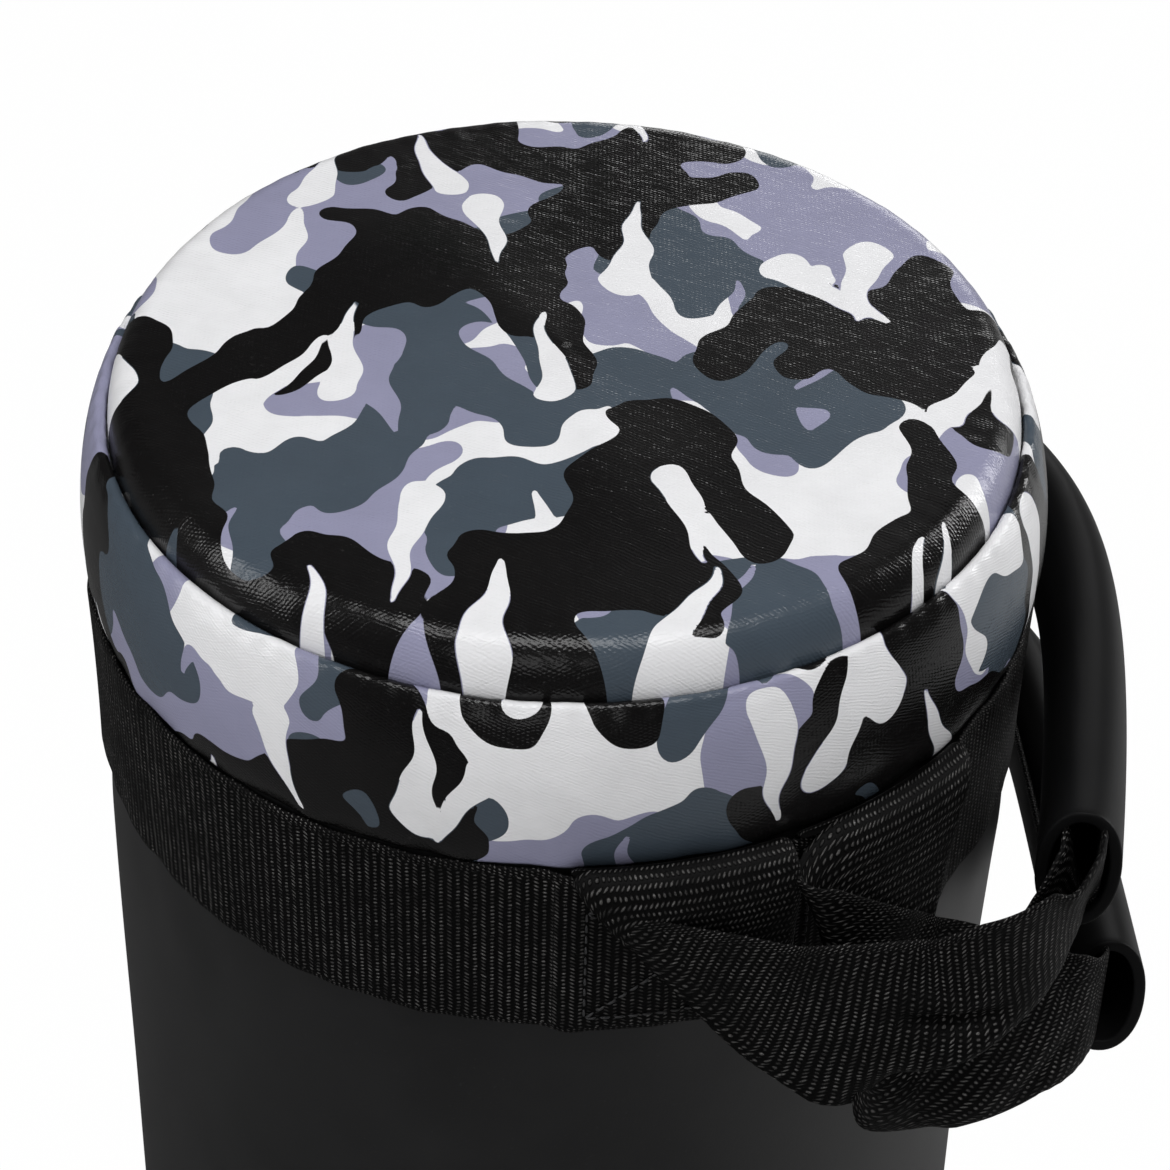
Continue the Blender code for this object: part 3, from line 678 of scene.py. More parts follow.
# Section of the skirt, from the hem over the rolled lip into the seam, and back inside as a
# thin layer: millimetres out from the skirt's radius, and from the cap's seam
SKIRT_OUTSIDE = [(-1.2, 0.6), (-0.3, 4.0), (0.5, 12.0), (0.3, 21.0), (-0.9, 30.0), (-2.6, 37.0),
                 (-4.2, 41.2), (-6.0, 43.6), (-7.2, 43.4), (-7.6, 42.0), (-7.4, 39.6)]
SKIRT_INSIDE = [(-6.6, 39.0), (-5.7, 40.2), (-5.4, 38.4), (-4.0, 33.5), (-2.0, 23.0),
                (-1.2, 14.0), (-1.4, 5.0), (-2.0, 0.8)]


def on_cap(height, sign):
    """World height of a place on a cap."""
    return SEAM_Z + height if sign > 0 else CAP_HEIGHT - height


def panel_points(sign, steps=600, rows=94, bends=35):
    """An end panel: a low crown, a round shoulder, and an edge drawn down into the seam.

    Radius runs from near the axis to the edge. Height is a parabola over the flat and a
    quarter superellipse over the shoulder. Puckers fade in towards the seam: they are sines
    of the azimuth at half the stitch count and slower. A few slow waves make the upper
    panel's padding uneven, and the lower panel is flat to stand on.
    """
    shoulder = 0.0100
    flat = GROOVE_R + 0.0008 - shoulder
    bend = shoulder * np.sin(np.linspace(0, np.pi / 2, bends)[1:])
    radius = np.concatenate([np.linspace(0.0012, flat, rows), flat + bend])
    crown, proud = (0.0022, 0.0012) if sign > 0 else (0.0, 0.0)
    level = CAP_HEIGHT + proud - crown
    drop = level - (GROOVE_HEIGHT - 0.0016)
    turn = np.clip((radius - flat) / shoulder, 0, 1)
    height = np.where(radius > flat, level - drop * (1 - (1 - turn ** 2.5) ** (1 / 2.2)),
                      level + crown * (1 - np.minimum(radius / flat, 1.0) ** 2))
    azimuth = circle(steps)[:, None]
    pucker = ripple(azimuth, [(106, 0.00006, 0.0), (53, 0.00005, 1.1), (31, 0.00008, 0.4),
                              (17, 0.00012, 2.0)])
    pucker = pucker * ease((radius - 0.086) / 0.020) * (1 - turn * 0.4)
    if sign > 0:
        slow = ripple(azimuth, [(2, 0.0005, 0.6), (3, 0.0004, 2.2), (5, 0.00025, 1.0)])
        height = height + pucker + slow * np.sin(np.minimum(radius / 0.105, 1) * np.pi)
    else:
        height = np.minimum(height + pucker * ease((radius - 0.096) / 0.008), CAP_HEIGHT)
    return around(azimuth, radius, on_cap(height, sign))


def add_tuck(points, sign):
    """The panel's edge carried down behind the lip, and back under as a thin inner layer."""
    edge = points[:, -1]
    inward = unit(edge * np.array([-1, -1, 0]))
    down = -UP * sign
    rings = [edge + down * fall + inward * back for fall, back in (
        (0.0012, 0.0), (0.0030, 0.0004), (0.0034, 0.0012), (0.0024, 0.0017))]
    below = points[:, ::-1] * np.array([0.984, 0.984, 1.0]) + down * 0.0014
    return np.concatenate([points, np.stack(rings, 1), below[:, 6::6]], 1)


def make_panel(node_name, sign, seed, mat):
    """A panel with its print, and a cloth map that keeps its length down the profile."""
    points = add_tuck(panel_points(sign), sign)
    x, y = points[..., 0], points[..., 1] * sign
    fields = camo_fields(x, y, seed, PRINT_BOX)
    run = lengths(points[0]) + np.hypot(x[0, 0], y[0, 0])
    stretch = run / np.maximum(np.hypot(x, y), 1e-4)
    uv = np.stack([x * stretch, y * stretch], -1)
    uv = np.concatenate([uv, uv[:1]])
    piece = mesh_piece(f"{node_name}_vinyl", points[::sign], wrap_v=False, uv=uv[::sign],
                       fields={label: field[::sign] for label, field in fields.items()}, poles=True)
    close_mesh(piece.data)
    finish_piece(piece, mat, "bag", node_name)


def make_skirt(node_name, sign, seed, mat, steps=760, outside=66, inside=16):
    """The cap's side: its lip is drawn in at the stitches, and the side is a little uneven.
    Lip, hem and side each have their own sines of the azimuth, faded by height."""
    line = np.vstack([dense(np.array(rows) * 0.001 + np.array([SKIRT_R, 0.0]), count)
                      for rows, count in ((SKIRT_OUTSIDE, outside), (SKIRT_INSIDE, inside))])
    azimuth = circle(steps)[:, None]
    radius, height = line.T
    near_lip = bell(height - GROOVE_HEIGHT - 0.0018, 0.0030) * (np.arange(len(line)) < outside)
    stitch = near_lip * ripple(azimuth, [(106, 0.00012, 0.0), (53, 0.00008, 0.7),
                                         (29, 0.00010, 2.0), (13, 0.00014, 0.3)])
    hem = ripple(azimuth, [(23, 0.00022, 0.0), (37, 0.00018, 1.0), (61, 0.00010, 0.5)])
    side = ripple(azimuth, [(2, 0.0004, 0.2), (3, 0.00035, 1.7), (5, 0.0003, 0.1),
                            (9, 0.0002, 2.3)])
    middle = np.sin(np.clip(height / 0.042, 0, 1) * np.pi)
    points = around(azimuth, radius + stitch * 0.6 + hem * bell(height, 0.006) + side * middle,
                    on_cap(height + stitch, sign))
    run = lengths(line)
    run[outside:] = 2 * run[outside - 1] - run[outside:]
    length = 2 * np.pi * SKIRT_R
    fields = camo_fields(*np.broadcast_arrays(azimuth * SKIRT_R, run), seed,
                         (0.0, length, -0.05, 0.12), length)
    piece = mesh_piece(f"{node_name}_vinyl", points[::sign, ::-1],
                       fields={label: field[::sign, ::-1] for label, field in fields.items()})
    add_cylinder_uv(piece.data, sign)
    close_mesh(piece.data)
    finish_piece(piece, mat, "bag", node_name)


def add_cylinder_uv(mesh, sign):
    """Cloth map of a skirt: arc length round the bag, and height less radius, with no seam
    through a face."""
    vertex = np.empty(len(mesh.loops), np.int32)
    mesh.loops.foreach_get("vertex_index", vertex)
    places = np.empty(len(mesh.vertices) * 3, np.float32)
    mesh.vertices.foreach_get("co", places)
    x, y, z = places.reshape(-1, 3)[vertex].T
    quads = np.arctan2(x, -y).reshape(-1, 4)
    crosses = (quads.max(1) - quads.min(1) > np.pi)[:, None]
    quads = np.where(crosses & (quads < 0), quads + 2 * np.pi, quads)
    uv = np.stack([quads.ravel() * SKIRT_R, z * sign - np.hypot(x, y)], -1)
    mesh.uv_layers.new(name="cloth_uv").data.foreach_set("uv", uv.astype(np.float32).ravel())


# Sleeve and bands

def make_sleeve(mat, rows=150, steps=300):
    """The body's tube: nearly round, with slow swells where the filling presses out and a
    slight waist under each band. It is closed over the wall at both ends."""
    z = np.linspace(0.0464, 0.5536, rows)
    azimuth = circle(steps)[:, None]
    share = (z - z[0]) / (z[-1] - z[0])
    free = ease((z - 0.100) / 0.03) * ease((0.498 - z) / 0.03)
    swell = (ripple(azimuth + 2.2 * share, [(2, 0.0007, 0.5), (3, 0.0006, 1.9)])
             + ripple(azimuth - 3.0 * share, [(4, 0.0004, 0.8), (7, 0.00022, 2.5)]))
    bulge = 0.0012 * free * np.sin(share * np.pi) ** 0.6
    pull = ripple(azimuth, [(19, 0.0003, 0.4), (27, 0.00025, 1.6), (11, 0.0003, 0.0)])
    near_band = bell(z - 0.488, 0.018) + bell(z - 0.112, 0.018)
    outer = SLEEVE_R - 0.0003 + bulge + swell * free + pull * near_band * free
    inner = np.full((steps, rows), SLEEVE_R - 0.0012)
    points = around(azimuth, np.concatenate([outer, inner], 1), np.concatenate([z, z[::-1]]))
    finish_piece(mesh_piece("body_sleeve_vinyl", points), mat, "bag", "body_sleeve")


def webbing_section(count):
    """Places across a strap, and the half thickness at each: even, with round selvedges."""
    half, edge = WEBBING / 2, WEBBING_THICK * 1.1
    across = -half * np.cos(np.linspace(0, np.pi, count))
    across = np.sign(across) * half * (np.abs(across) / half) ** 0.9
    past = np.clip((np.abs(across) - (half - edge)) / edge, 0, 1)
    return across, np.sqrt(np.clip(1 - past ** 2, 0, 1)) * WEBBING_THICK / 2


def there_and_back(front, back):
    """Values across a strap's face and back behind it."""
    return np.concatenate([front, back[::-1][1:-1]])


def loop_map(along, across):
    """UV grid of webbing, whose last column meets its first one."""
    return cloth_map(along, np.append(across, across[0]))


def make_band(node_name, low, raised, mat, steps=900):
    """A ring of webbing. It stands a little further out where strap ends lie under it, and its
    edges waver by a fraction of a millimetre, as sewn webbing does."""
    face, half_thick = webbing_section(26)
    across = there_and_back(face, face)
    depth = there_and_back(half_thick, -half_thick)
    azimuth = circle(steps)[:, None]
    lift = np.zeros_like(azimuth)
    for at in raised:
        away = np.abs((np.degrees(azimuth) - at + 180) % 360 - 180)
        lift = np.maximum(lift, ease((15.5 - away) / 4.0))
    snug = SLEEVE_R + (0.0002 if raised else 0.0003)
    middle = snug + (BAND_INNER - snug) * lift + WEBBING_THICK / 2
    waver = ripple(azimuth, [(41, 0.00016, 0.3), (23, 0.0002, 1.2), (67, 0.0001, 0.0)])
    rise = ripple(azimuth, [(3, 0.0004, 0.5), (7, 0.0003, 2.1), (31, 0.00012, 0.2)])
    radius = middle + depth + waver * (np.abs(across) / (WEBBING / 2)) ** 2
    points = around(azimuth, radius, low + WEBBING / 2 + across + rise * 0.4)
    arc = np.linspace(0, 2 * np.pi, steps + 1)[:, None] * BAND_OUTER
    piece = mesh_piece(f"{node_name}_webbing", points, uv=loop_map(arc, across))
    finish_piece(piece, mat, "bag", node_name)


# Handles

# Start of a root line: length with 0 at the crest, radius, height above the band's top edge
ROOT_START = [(-0.0300, 0.1144, -0.0270), (-0.0060, 0.1144, -0.0030), (-0.0025, 0.1152, 0.0003),
              (0.0000, 0.1170, 0.0021), (0.0040, 0.1206, 0.0012), (0.0085, 0.1230, -0.0024)]
# Rows of each list:
#   run: length along the strap, azimuth, radius, drop below the band's top edge, lean
#   puckers: length and width of each end of a pucker, its half width and its height
#   close: length, closing angle, width where the strap creases, softness, how far centred
# A bow is the hose's tip, drop and tilt, half its span, and its slope and bend.
HANDLES = {
    "upper": {
        "root": PAIR_AZIMUTH - HALF_PITCH, "chord": -CHORD,
        "bow": (0.1340, 0.0289, 11.95, 0.139, 0.8185, 0.0505),
        "root_line": ROOT_START + [(0.0150, 0.1236, -0.0088), (0.0260, 0.1228, -0.0198),
                                   (0.0420, 0.1222, -0.0358), (0.0950, 0.1218, -0.0888)],
        "run": [(0.000, 3.6, 0.1232, 0.0290, 0.0), (0.034, 15.8, 0.1265, 0.0355, 0.0),
                (0.055, 23.6, 0.1335, 0.0402, 4.0), (0.074, 30.0, 0.1440, 0.0390, 10.0),
                (0.092, 35.8, 0.1545, 0.0350, 13.0), (0.110, 41.9, 0.1592, 0.0268, 10.0),
                (0.126, 47.0, 0.1568, 0.0200, 3.0), (0.140, 50.6, 0.1525, 0.0136, 0.0)],
        "fold_at": 0.034, "fold_slope": 1.28, "fold_radius": 0.0024, "skew": 0.0, "sweep": 0.0,
        "seat": (-0.0118, 0.0026),
        "puckers": [(0.0830, -0.0040, 0.0990, 0.0008, 0.0021, -0.0038),
                    (0.0820, 0.0135, 0.0980, 0.0055, 0.0028, 0.0018),
                    (0.0800, -0.0098, 0.0990, -0.0052, 0.0024, 0.0014)],
        "close": [(0.064, 0, 0.0145, 0.0062, 0.0), (0.078, 80, 0.0115, 0.0050, 0.0),
                  (0.092, 135, 0.0105, 0.0036, 0.0), (0.108, 160, 0.0095, 0.0028, 0.0),
                  (0.124, 166, 0.007, 0.0024, 0.25), (0.138, 168, 0.0, 0.0022, 1.0)],
    },
    "lower": {
        "root": PAIR_AZIMUTH + HALF_PITCH, "chord": CHORD,
        "bow": (0.1386, 0.0949, 24.67, 0.1349, 0.5607, 0.0113),
        "root_line": ROOT_START + [(0.0150, 0.1240, -0.0088), (0.0260, 0.1260, -0.0196),
                                   (0.0420, 0.1310, -0.0342), (0.0700, 0.1420, -0.0555),
                                   (0.0950, 0.1500, -0.0790)],
        "run": [(0.000, 20.5, 0.1240, 0.0240, 8.0), (0.034, 30.8, 0.1335, 0.0400, 20.0),
                (0.054, 35.4, 0.1365, 0.0482, 26.0), (0.0715, 39.4, 0.1415, 0.0528, 28.0),
                (0.086, 44.2, 0.1500, 0.0615, 30.0), (0.100, 49.2, 0.1566, 0.0658, 22.0),
                (0.113, 53.6, 0.1588, 0.0672, 8.0), (0.125, 57.1, 0.1566, 0.0677, 0.0)],
        "fold_at": 0.034, "fold_slope": 1.50, "fold_radius": 0.0036, "skew": 0.52, "sweep": 11.0,
        "seat": (-0.0100, -0.0020),
        "puckers": [(0.0900, 0.0120, 0.1050, -0.0040, 0.0022, -0.0014)],
        "close": [(0.058, 0, 0.021, 0.0062, 0.0), (0.070, 14, 0.021, 0.0052, 0.0),
                  (0.084, 60, 0.018, 0.0042, 0.0), (0.097, 125, 0.012, 0.0034, 0.05),
                  (0.110, 156, 0.007, 0.0026, 0.4), (0.123, 168, 0.0015, 0.0022, 1.0)],
    },
}


def bow(spec, side):
    """Middle line of the grip at sides along the chord: world points of a tilted hyperbola."""
    tip, drop, tilt, _, slope, bend = spec["bow"]
    back = (np.hypot(bend, slope * side) - bend)[..., None]
    tilt = math.radians(tilt)
    return (side[..., None] * SIDE + (tip - back * math.cos(tilt)) * REACH
            + (SEAM_Z - drop + back * math.sin(tilt)) * UP)


def back_layer(spec, t, w):
    """The strap at its root: up behind the band, over its edge in a soft roll, and down.
    Width runs round the bag, and the strap slews sideways past the edge."""
    line = spline(spec["root_line"], t)
    aside = spec["skew"] * np.maximum(t, 0) + spec["sweep"] * np.maximum(t - 0.035, 0) ** 2
    azimuth = math.radians(spec["root"]) + (w - aside) / STRAP_ARC_R
    return around(azimuth, line[..., 0], SEAM_Z + line[..., 1])


def front_line(spec, t, stations=24):
    """Middle line of the run from fold to mouth and on inside the grip, at lengths t, with the
    unit vectors up its width and out from the bag, leant by the run's angle, and its end."""
    knots = np.array(spec["run"])
    places = around(np.radians(knots[:, 1]), knots[:, 2], SEAM_Z - knots[:, 3])
    mouth_t = knots[-1, 0]
    grip, length = even_run(bow(spec, np.linspace(spec["bow"][3], -0.004, 120)), stations)
    grip_t = mouth_t + np.linspace(0, length, stations)
    table = np.column_stack([np.concatenate([knots[:-1, 0], grip_t]),
                             np.vstack([places[:-1], grip])])
    step = 0.003
    middle = spline(table, t)
    tangent = unit(spline(table, t + step) - spline(table, t - step))
    up = unit(UP - tangent * tangent[..., 2:3])
    out = np.cross(tangent, up)
    out = out * np.sign((out * middle * np.array([1, 1, 0])).sum(-1, keepdims=True) + 1e-9)
    leans = np.vstack([knots[:, [0, 4]], [mouth_t + 0.01, 0.0], [mouth_t + 1.0, 0.0]])
    angle = np.radians(spline(leans, t))
    leant_up = up * np.cos(angle) - out * np.sin(angle)
    leant_out = out * np.cos(angle) + up * np.sin(angle)
    return middle, leant_up, leant_out, mouth_t + length


def section(spec, t, w, rows=90, columns=161):
    """The strap's section as (up, out) at lengths t and widths w.

    It is flat, and closes lengthwise towards the mouth: past the crease its direction turns
    through the closing angle, inward and up, so the halves lie side by side on edge. The
    direction is summed over the width in a table, and places are read between its cells.
    """
    knots = np.array(spec["close"])
    stations = np.linspace(knots[0, 0], knots[-1, 0], rows)
    turn, crease, soft, centred = [np.interp(stations, knots[:, 0], values)[:, None]
                                   for values in knots[:, 1:].T]
    fine = np.linspace(-0.5, 0.5, columns) * WEBBING
    phi = np.radians(turn) * 0.5 * (1 + np.tanh((fine - crease) / soft))
    step = fine[1] - fine[0]
    table = np.zeros((rows, columns, 2))
    for side, way in enumerate((-np.cos(phi), -np.sin(phi))):
        table[:, 1:, side] = np.cumsum((way[:, 1:] + way[:, :-1]) / 2 * step, 1)
    table -= table[:, columns // 2][:, None]
    table += np.array(spec["seat"]) * centred[..., None]
    row = np.clip((t - stations[0]) / (stations[-1] - stations[0]), 0, 1) * (rows - 1)
    low = np.clip(row.astype(int), 0, rows - 2)
    mix = (row - low)[..., None]
    column = (w / WEBBING + 0.5) * (columns - 1)
    left = np.clip(column.astype(int), 0, columns - 2)
    across = (column - left)[..., None]
    lower, upper = [table[k, left] * (1 - across) + table[k, left + 1] * across
                    for k in (low, low + 1)]
    result = lower * (1 - mix) + upper * mix
    return result[..., 0:1], result[..., 1:2]


def puckered(spec, t, w):
    """Height of the puckers pressed into a strap: each is a bell across its line that fades
    to nothing past the line's ends."""
    total = np.zeros(np.broadcast(t, w).shape)
    for t0, w0, t1, w1, half, height in spec["puckers"]:
        dt, dw = t1 - t0, w1 - w0
        share = ((t - t0) * dt + (w - w0) * dw) / (dt * dt + dw * dw)
        gap = np.hypot(t - t0 - share * dt, w - w0 - share * dw)
        total += height * np.clip(1 - ((share - 0.5) / 0.75) ** 2, 0, 1) * bell(gap, half)
    return total[..., None]


def strap_middle(spec, t, w):
    """The strap's middle surface at lengths t and widths w.

    It follows the root's layer up to a slanting fold line, turns over in a half circle, and
    follows the front run after it.
    """
    slope, radius = spec["fold_slope"], spec["fold_radius"]
    steep = math.hypot(1.0, slope)
    past = (t - spec["fold_at"] - slope * w) / steep
    share = np.clip(past / (math.pi * radius) + 0.5, 0, 1) * np.pi
    middle, up, out, _ = front_line(spec, t)
    rise, stand = section(spec, t, w)
    before = middle + up * rise + out * (stand + puckered(spec, t, w))
    mix = ((1 - np.cos(share)) / 2)[..., None]
    azimuth = math.radians(spec["root"]) + w / STRAP_ARC_R
    off = -round_bag(azimuth) * (slope / steep) - UP * (1 / steep)
    return (back_layer(spec, t, w) * (1 - mix) + before * mix
            + off * (radius * np.sin(share))[..., None])


def thicken(middle, depth):
    """Grid across a strap's face and back behind it: the half thickness at each place across
    stands off its middle surface along the normal."""
    normal = unit(np.cross(np.gradient(middle, axis=0), np.gradient(middle, axis=1)))
    off = normal * depth[:, None]
    return np.concatenate([middle + off, (middle - off)[:, ::-1][:, 1:-1]], 1)


def make_strap(which, mat):
    """A handle's webbing from root to root: half of it is worked out, and the other half is
    its mirror image across the pair's middle plane."""
    spec = HANDLES[which]
    *_, end_t = front_line(spec, np.array([0.05]))
    t = np.concatenate([np.linspace(0.0, 0.14, 150), np.linspace(0.14, end_t, 70)[1:]])
    across, depth = webbing_section(44)
    loop = thicken(strap_middle(spec, *np.meshgrid(t, across, indexing="ij")), depth)
    last = np.where((loop @ SIDE > -0.0005).all(1))[0].max()
    half = loop[:last + 1]
    whole = np.concatenate([half, to_back(half)[::-1]], 0)
    # The cloth map follows the bends in part, so that the weave keeps its size there
    step = np.linalg.norm(np.diff(half, axis=0), axis=2)
    real = np.concatenate([np.zeros((1, half.shape[1])), np.cumsum(step, 0)])
    half_run = t[:last + 1, None] + 0.4 * (real - real.mean(1, keepdims=True))
    run = np.concatenate([half_run, 2 * half_run[-1:] + 0.001 - half_run[::-1]])
    run = np.concatenate([run, run[:, :1]], 1)
    loop_w = there_and_back(across, across)
    piece = mesh_piece(f"{which}_handle_webbing", whole, wrap_u=False, uv=loop_map(run, loop_w))
    close_strap(piece.data, len(whole), len(loop_w))
    dress(piece, mat)
    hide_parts(f"{which}_handle_strap")
    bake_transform(piece)


def make_tab(which, end, mat):
    """A strap's sewn end: the webbing behind the band and over its edge, up to the crest. It
    is a little thinner than the strap."""
    t = np.linspace(-0.030, 0.0006, 40)
    across, depth = webbing_section(30)
    loop = thicken(back_layer(HANDLES[which], *np.meshgrid(t, across, indexing="ij")), depth * 0.94)
    if end == "back":
        loop = to_back(loop)
    loop_w = there_and_back(across, across)
    piece = mesh_piece(f"{which}_handle_{end}_end", loop, wrap_u=False,
                       uv=loop_map(t[:, None], loop_w))
    close_strap(piece.data, len(t), len(loop_w))
    finish_piece(piece, mat, "bag", f"{which}_handle_{end}_tab")


def make_grip(which, mat, stations=190, sides=56):
    """A rubber hose pressed to an upright oval, with its bore and softly rounded mouths.

    A closed profile runs along the outside, round the rim, back through the bore and round the
    other rim. Its rows are (station, distance in from the outer skin, distance past the end).
    """
    spec = HANDLES[which]
    half_height, half_width, mean_r, squareness = 0.0160, 0.0096, 0.013, 0.93
    wall, rim_r = 0.0030, 0.0007
    spread = spec["bow"][3]
    line, length = even_run(bow(spec, np.linspace(spread, -spread, 600)), stations)
    tangent = unit(np.gradient(line, axis=0))
    up = unit(UP - tangent * tangent[:, 2:3])
    out = np.cross(tangent, up)
    rim = [(rim_r * (1 - math.cos(a)), rim_r * math.sin(a))
           for a in np.linspace(0, np.pi / 2, 5)[1:]]
    rim += [(wall - inward, ahead) for inward, ahead in rim[::-1]]
    rows = np.array([(i, 0.0, 0.0) for i in range(stations)]
                    + [(stations - 1, inward, ahead) for inward, ahead in rim]
                    + [(i, wall, 0.0) for i in reversed(range(stations))]
                    + [(0, inward, -ahead) for inward, ahead in rim[::-1]])
    index = rows[:, 0].astype(int)
    turn = circle(sides)
    oval_up, oval_out = [np.sign(v) * np.abs(v) ** squareness for v in (np.cos(turn), np.sin(turn))]
    rise = ((half_height - rows[:, 1:2]) * oval_up)[..., None]
    stand = ((half_width - rows[:, 1:2]) * oval_out)[..., None]
    points = (line[index][:, None] + up[index][:, None] * rise + out[index][:, None] * stand
              + (tangent[index] * rows[:, 2:3])[:, None])
    run = index * length / stations + rows[:, 1]
    arc = np.linspace(0, 2 * np.pi, sides + 1) * mean_r
    uv = cloth_map(np.append(run, run[0])[:, None], arc)
    piece = mesh_piece(f"{which}_handle_hose", points, uv=uv)
    close_mesh(piece.data)
    finish_piece(piece, mat, f"{which}_handle", f"{which}_handle_grip")


# Stitching

def stitches(name, places, along, outward, length, radius, mat, *nodes):
    """Short raised stitches: each is a bent capsule whose middle stands out by its height.

    A capsule of 7 rings of 6 points is placed at each centre with its own directions. Its
    radius shrinks towards the ends as the root of 1 less the fourth power of the length.
    """
    rings, sides = 7, 6
    s = np.linspace(-1, 1, rings)
    swell = np.sqrt(np.clip(1 - s ** 4, 0.02, 1))[:, None] * radius
    turn = circle(sides)
    lift = (1 - s ** 2)[:, None] * radius * 0.8 + swell * np.cos(turn)
    points = (places[:, None, None] + along[:, None, None] * (s * length / 2)[:, None, None]
              + outward[:, None, None] * lift[..., None]
              + np.cross(along, outward)[:, None, None] * (swell * np.sin(turn))[..., None])
    ring = np.arange(rings * sides).reshape(rings, sides)
    near, far = ring[:-1], ring[1:]
    quads = np.stack([near, np.roll(near, -1, 1), np.roll(far, -1, 1), far], -1).reshape(-1, 4)
    ends = np.stack([ring[0][::-1], ring[-1]])
    first = (np.arange(len(places)) * rings * sides)[:, None, None]
    piece = link_mesh(name, points.reshape(-1, 3), (quads + first).reshape(-1, 4),
                      (ends + first).reshape(-1, sides))
    close_mesh(piece.data)
    finish_piece(piece, mat, "bag", *nodes)


def box_and_cross(which, end, mat):
    """Stitches of the box and cross on the band, over a strap's sewn end."""
    half, pitch = np.array([0.021, 0.017]), 0.0031
    centre_z = SEAM_Z - 0.0275
    corners = [half * way for way in ((-1, -1), (1, -1), (1, 1), (-1, 1))]
    where, ways = [], []
    for i, j in ((0, 1), (1, 2), (2, 3), (3, 0), (0, 2), (1, 3)):
        line = corners[j] - corners[i]
        count = int(np.linalg.norm(line) / pitch)
        share = (np.arange(count) + 0.5) / count
        where.append(corners[i] + line * share[:, None])
        ways.append(np.repeat(unit(line)[None], count, 0))
    where, ways = np.vstack(where), np.vstack(ways)
    azimuth = math.radians(HANDLES[which]["root"]) + where[:, 0] / BAND_OUTER
    laid = (around(azimuth, BAND_OUTER + 0.00022, centre_z + where[:, 1]),
            round_bag(azimuth) * ways[:, 0:1] + UP * ways[:, 1:2], around(azimuth, 1.0, 0.0))
    if end == "back":
        laid = [to_back(v) for v in laid]
    stitches(f"{which}_handle_{end}_box_stitch", *laid, 0.0024, 0.00030, mat,
             f"{which}_handle_{end}_stitching")


def ring_stitches(name, radius, z, count, length, thick, tilt, mat):
    """A row of stitches round the bag. Tilt turns their outward way up from level, in degrees."""
    azimuth = (np.arange(count) + 0.5) * 2 * np.pi / count
    tilt = math.radians(tilt)
    outward = around(azimuth, 1.0, 0.0) * math.cos(tilt) + UP * math.sin(tilt)
    stitches(name, around(azimuth, radius, z), round_bag(azimuth), outward, length, thick, mat)


# Filling, out of sight inside the bag

def turned_piece(name, profile, mat, node_name, waves=(), steps=96):
    """A closed turned piece, with slow waves on its radius. A profile that starts near the
    axis is closed there by poles."""
    line = np.array(profile)
    azimuth = circle(steps)[:, None]
    solid = bool(line[0, 0] < 0.002)
    points = around(azimuth, line[:, 0] * (1 + ripple(azimuth, waves)), line[:, 1])
    piece = mesh_piece(name, points, wrap_v=not solid, poles=solid)
    close_mesh(piece.data)
    finish_piece(piece, mat, "bag", node_name)


def straight(points, step=0.004):
    """Profile points joined by straight lines and cut into short steps."""
    rows = [points[0]]
    for a, b in zip(points, points[1:]):
        count = max(1, int(math.dist(a, b) / step))
        for k in range(1, count + 1):
            rows.append((a[0] + (b[0] - a[0]) * k / count, a[1] + (b[1] - a[1]) * k / count))
    return rows


def make_filling(mats):
    """Foam lining and pads, sand sacks, their ties, and the wadding round their necks."""
    low, high, inside = 0.0148, 0.5823, LINING_R - 0.0082
    taper = [(0.0, 0.0030), (0.0045, 0.0014), (0.0120, 0.0002)]
    side = [(LINING_R - away, low + up) for up, away in taper]
    side += [(LINING_R - away, high - up) for up, away in taper[::-1]]
    lining = straight([(inside, low)] + side + [(inside, high)], 0.02)
    turned_piece("foam_lining_sheet", lining, mats["foam"], "foam_lining")
    for word, start, heights in (
        ("bottom", 0.0955, (0.0021, 0.0035, 0.0080, 0.0130, 0.0137, 0.0137)),
        ("top", 0.0960, (0.5832, 0.5840, 0.5890, 0.5938, 0.5948, 0.5972)),
    ):
        radii = (start, 0.0985, 0.0995, 0.0985, 0.0960, 0.001)
        pad = straight([(0.001, heights[0]), *zip(radii, heights)])
        turned_piece(f"{word}_pad_foam", pad, mats["foam"], f"{word}_foam_pad")
    storey = (0.5828 - 0.0143) / 2
    for index, word in enumerate(("lower", "upper")):
        floor = 0.0146 + storey * index
        roof = floor + storey - 0.0010
        shoulder = roof - 0.0232
        sack = [(0.001, roof - 0.0012), (0.012, roof - 0.0014), (0.0185, roof - 0.0020),
                (0.0112, roof - 0.0115), (0.0112, roof - 0.0215), (0.030, shoulder - 0.004),
                (0.052, shoulder - 0.010), (0.088, shoulder - 0.030), (0.1000, shoulder - 0.042),
                (0.1022, shoulder - 0.060), (0.1022, floor + 0.020), (0.1000, floor + 0.006),
                (0.0930, floor + 0.0006), (0.001, floor + 0.0006)]
        turned_piece(f"{word}_sack_of_sand", straight(sack), mats["sack"], f"{word}_sand_sack",
                     [(2, 0.0012, 0.4), (3, 0.0010, 1.8), (5, 0.0008, 0.2)])
        tie = [(0.01350 + 0.0011 * math.cos(a), roof - 0.0164 + 0.0011 * math.sin(a))
               for a in circle(12)]
        turned_piece(f"{word}_neck_tie", tie, mats["tie"], f"{word}_sack_tie")
        wadding = straight([(0.0275, roof - 0.001), (0.1015, roof - 0.001),
                            (0.1015, shoulder - 0.0335), (0.0530, shoulder - 0.0072),
                            (0.0275, shoulder - 0.0005)])
        turned_piece(f"{word}_ring_of_wadding", wadding, mats["wadding"], f"{word}_wadding",
                     [(7, 0.004, 0.5), (11, 0.003, 1.4)])


# Studio

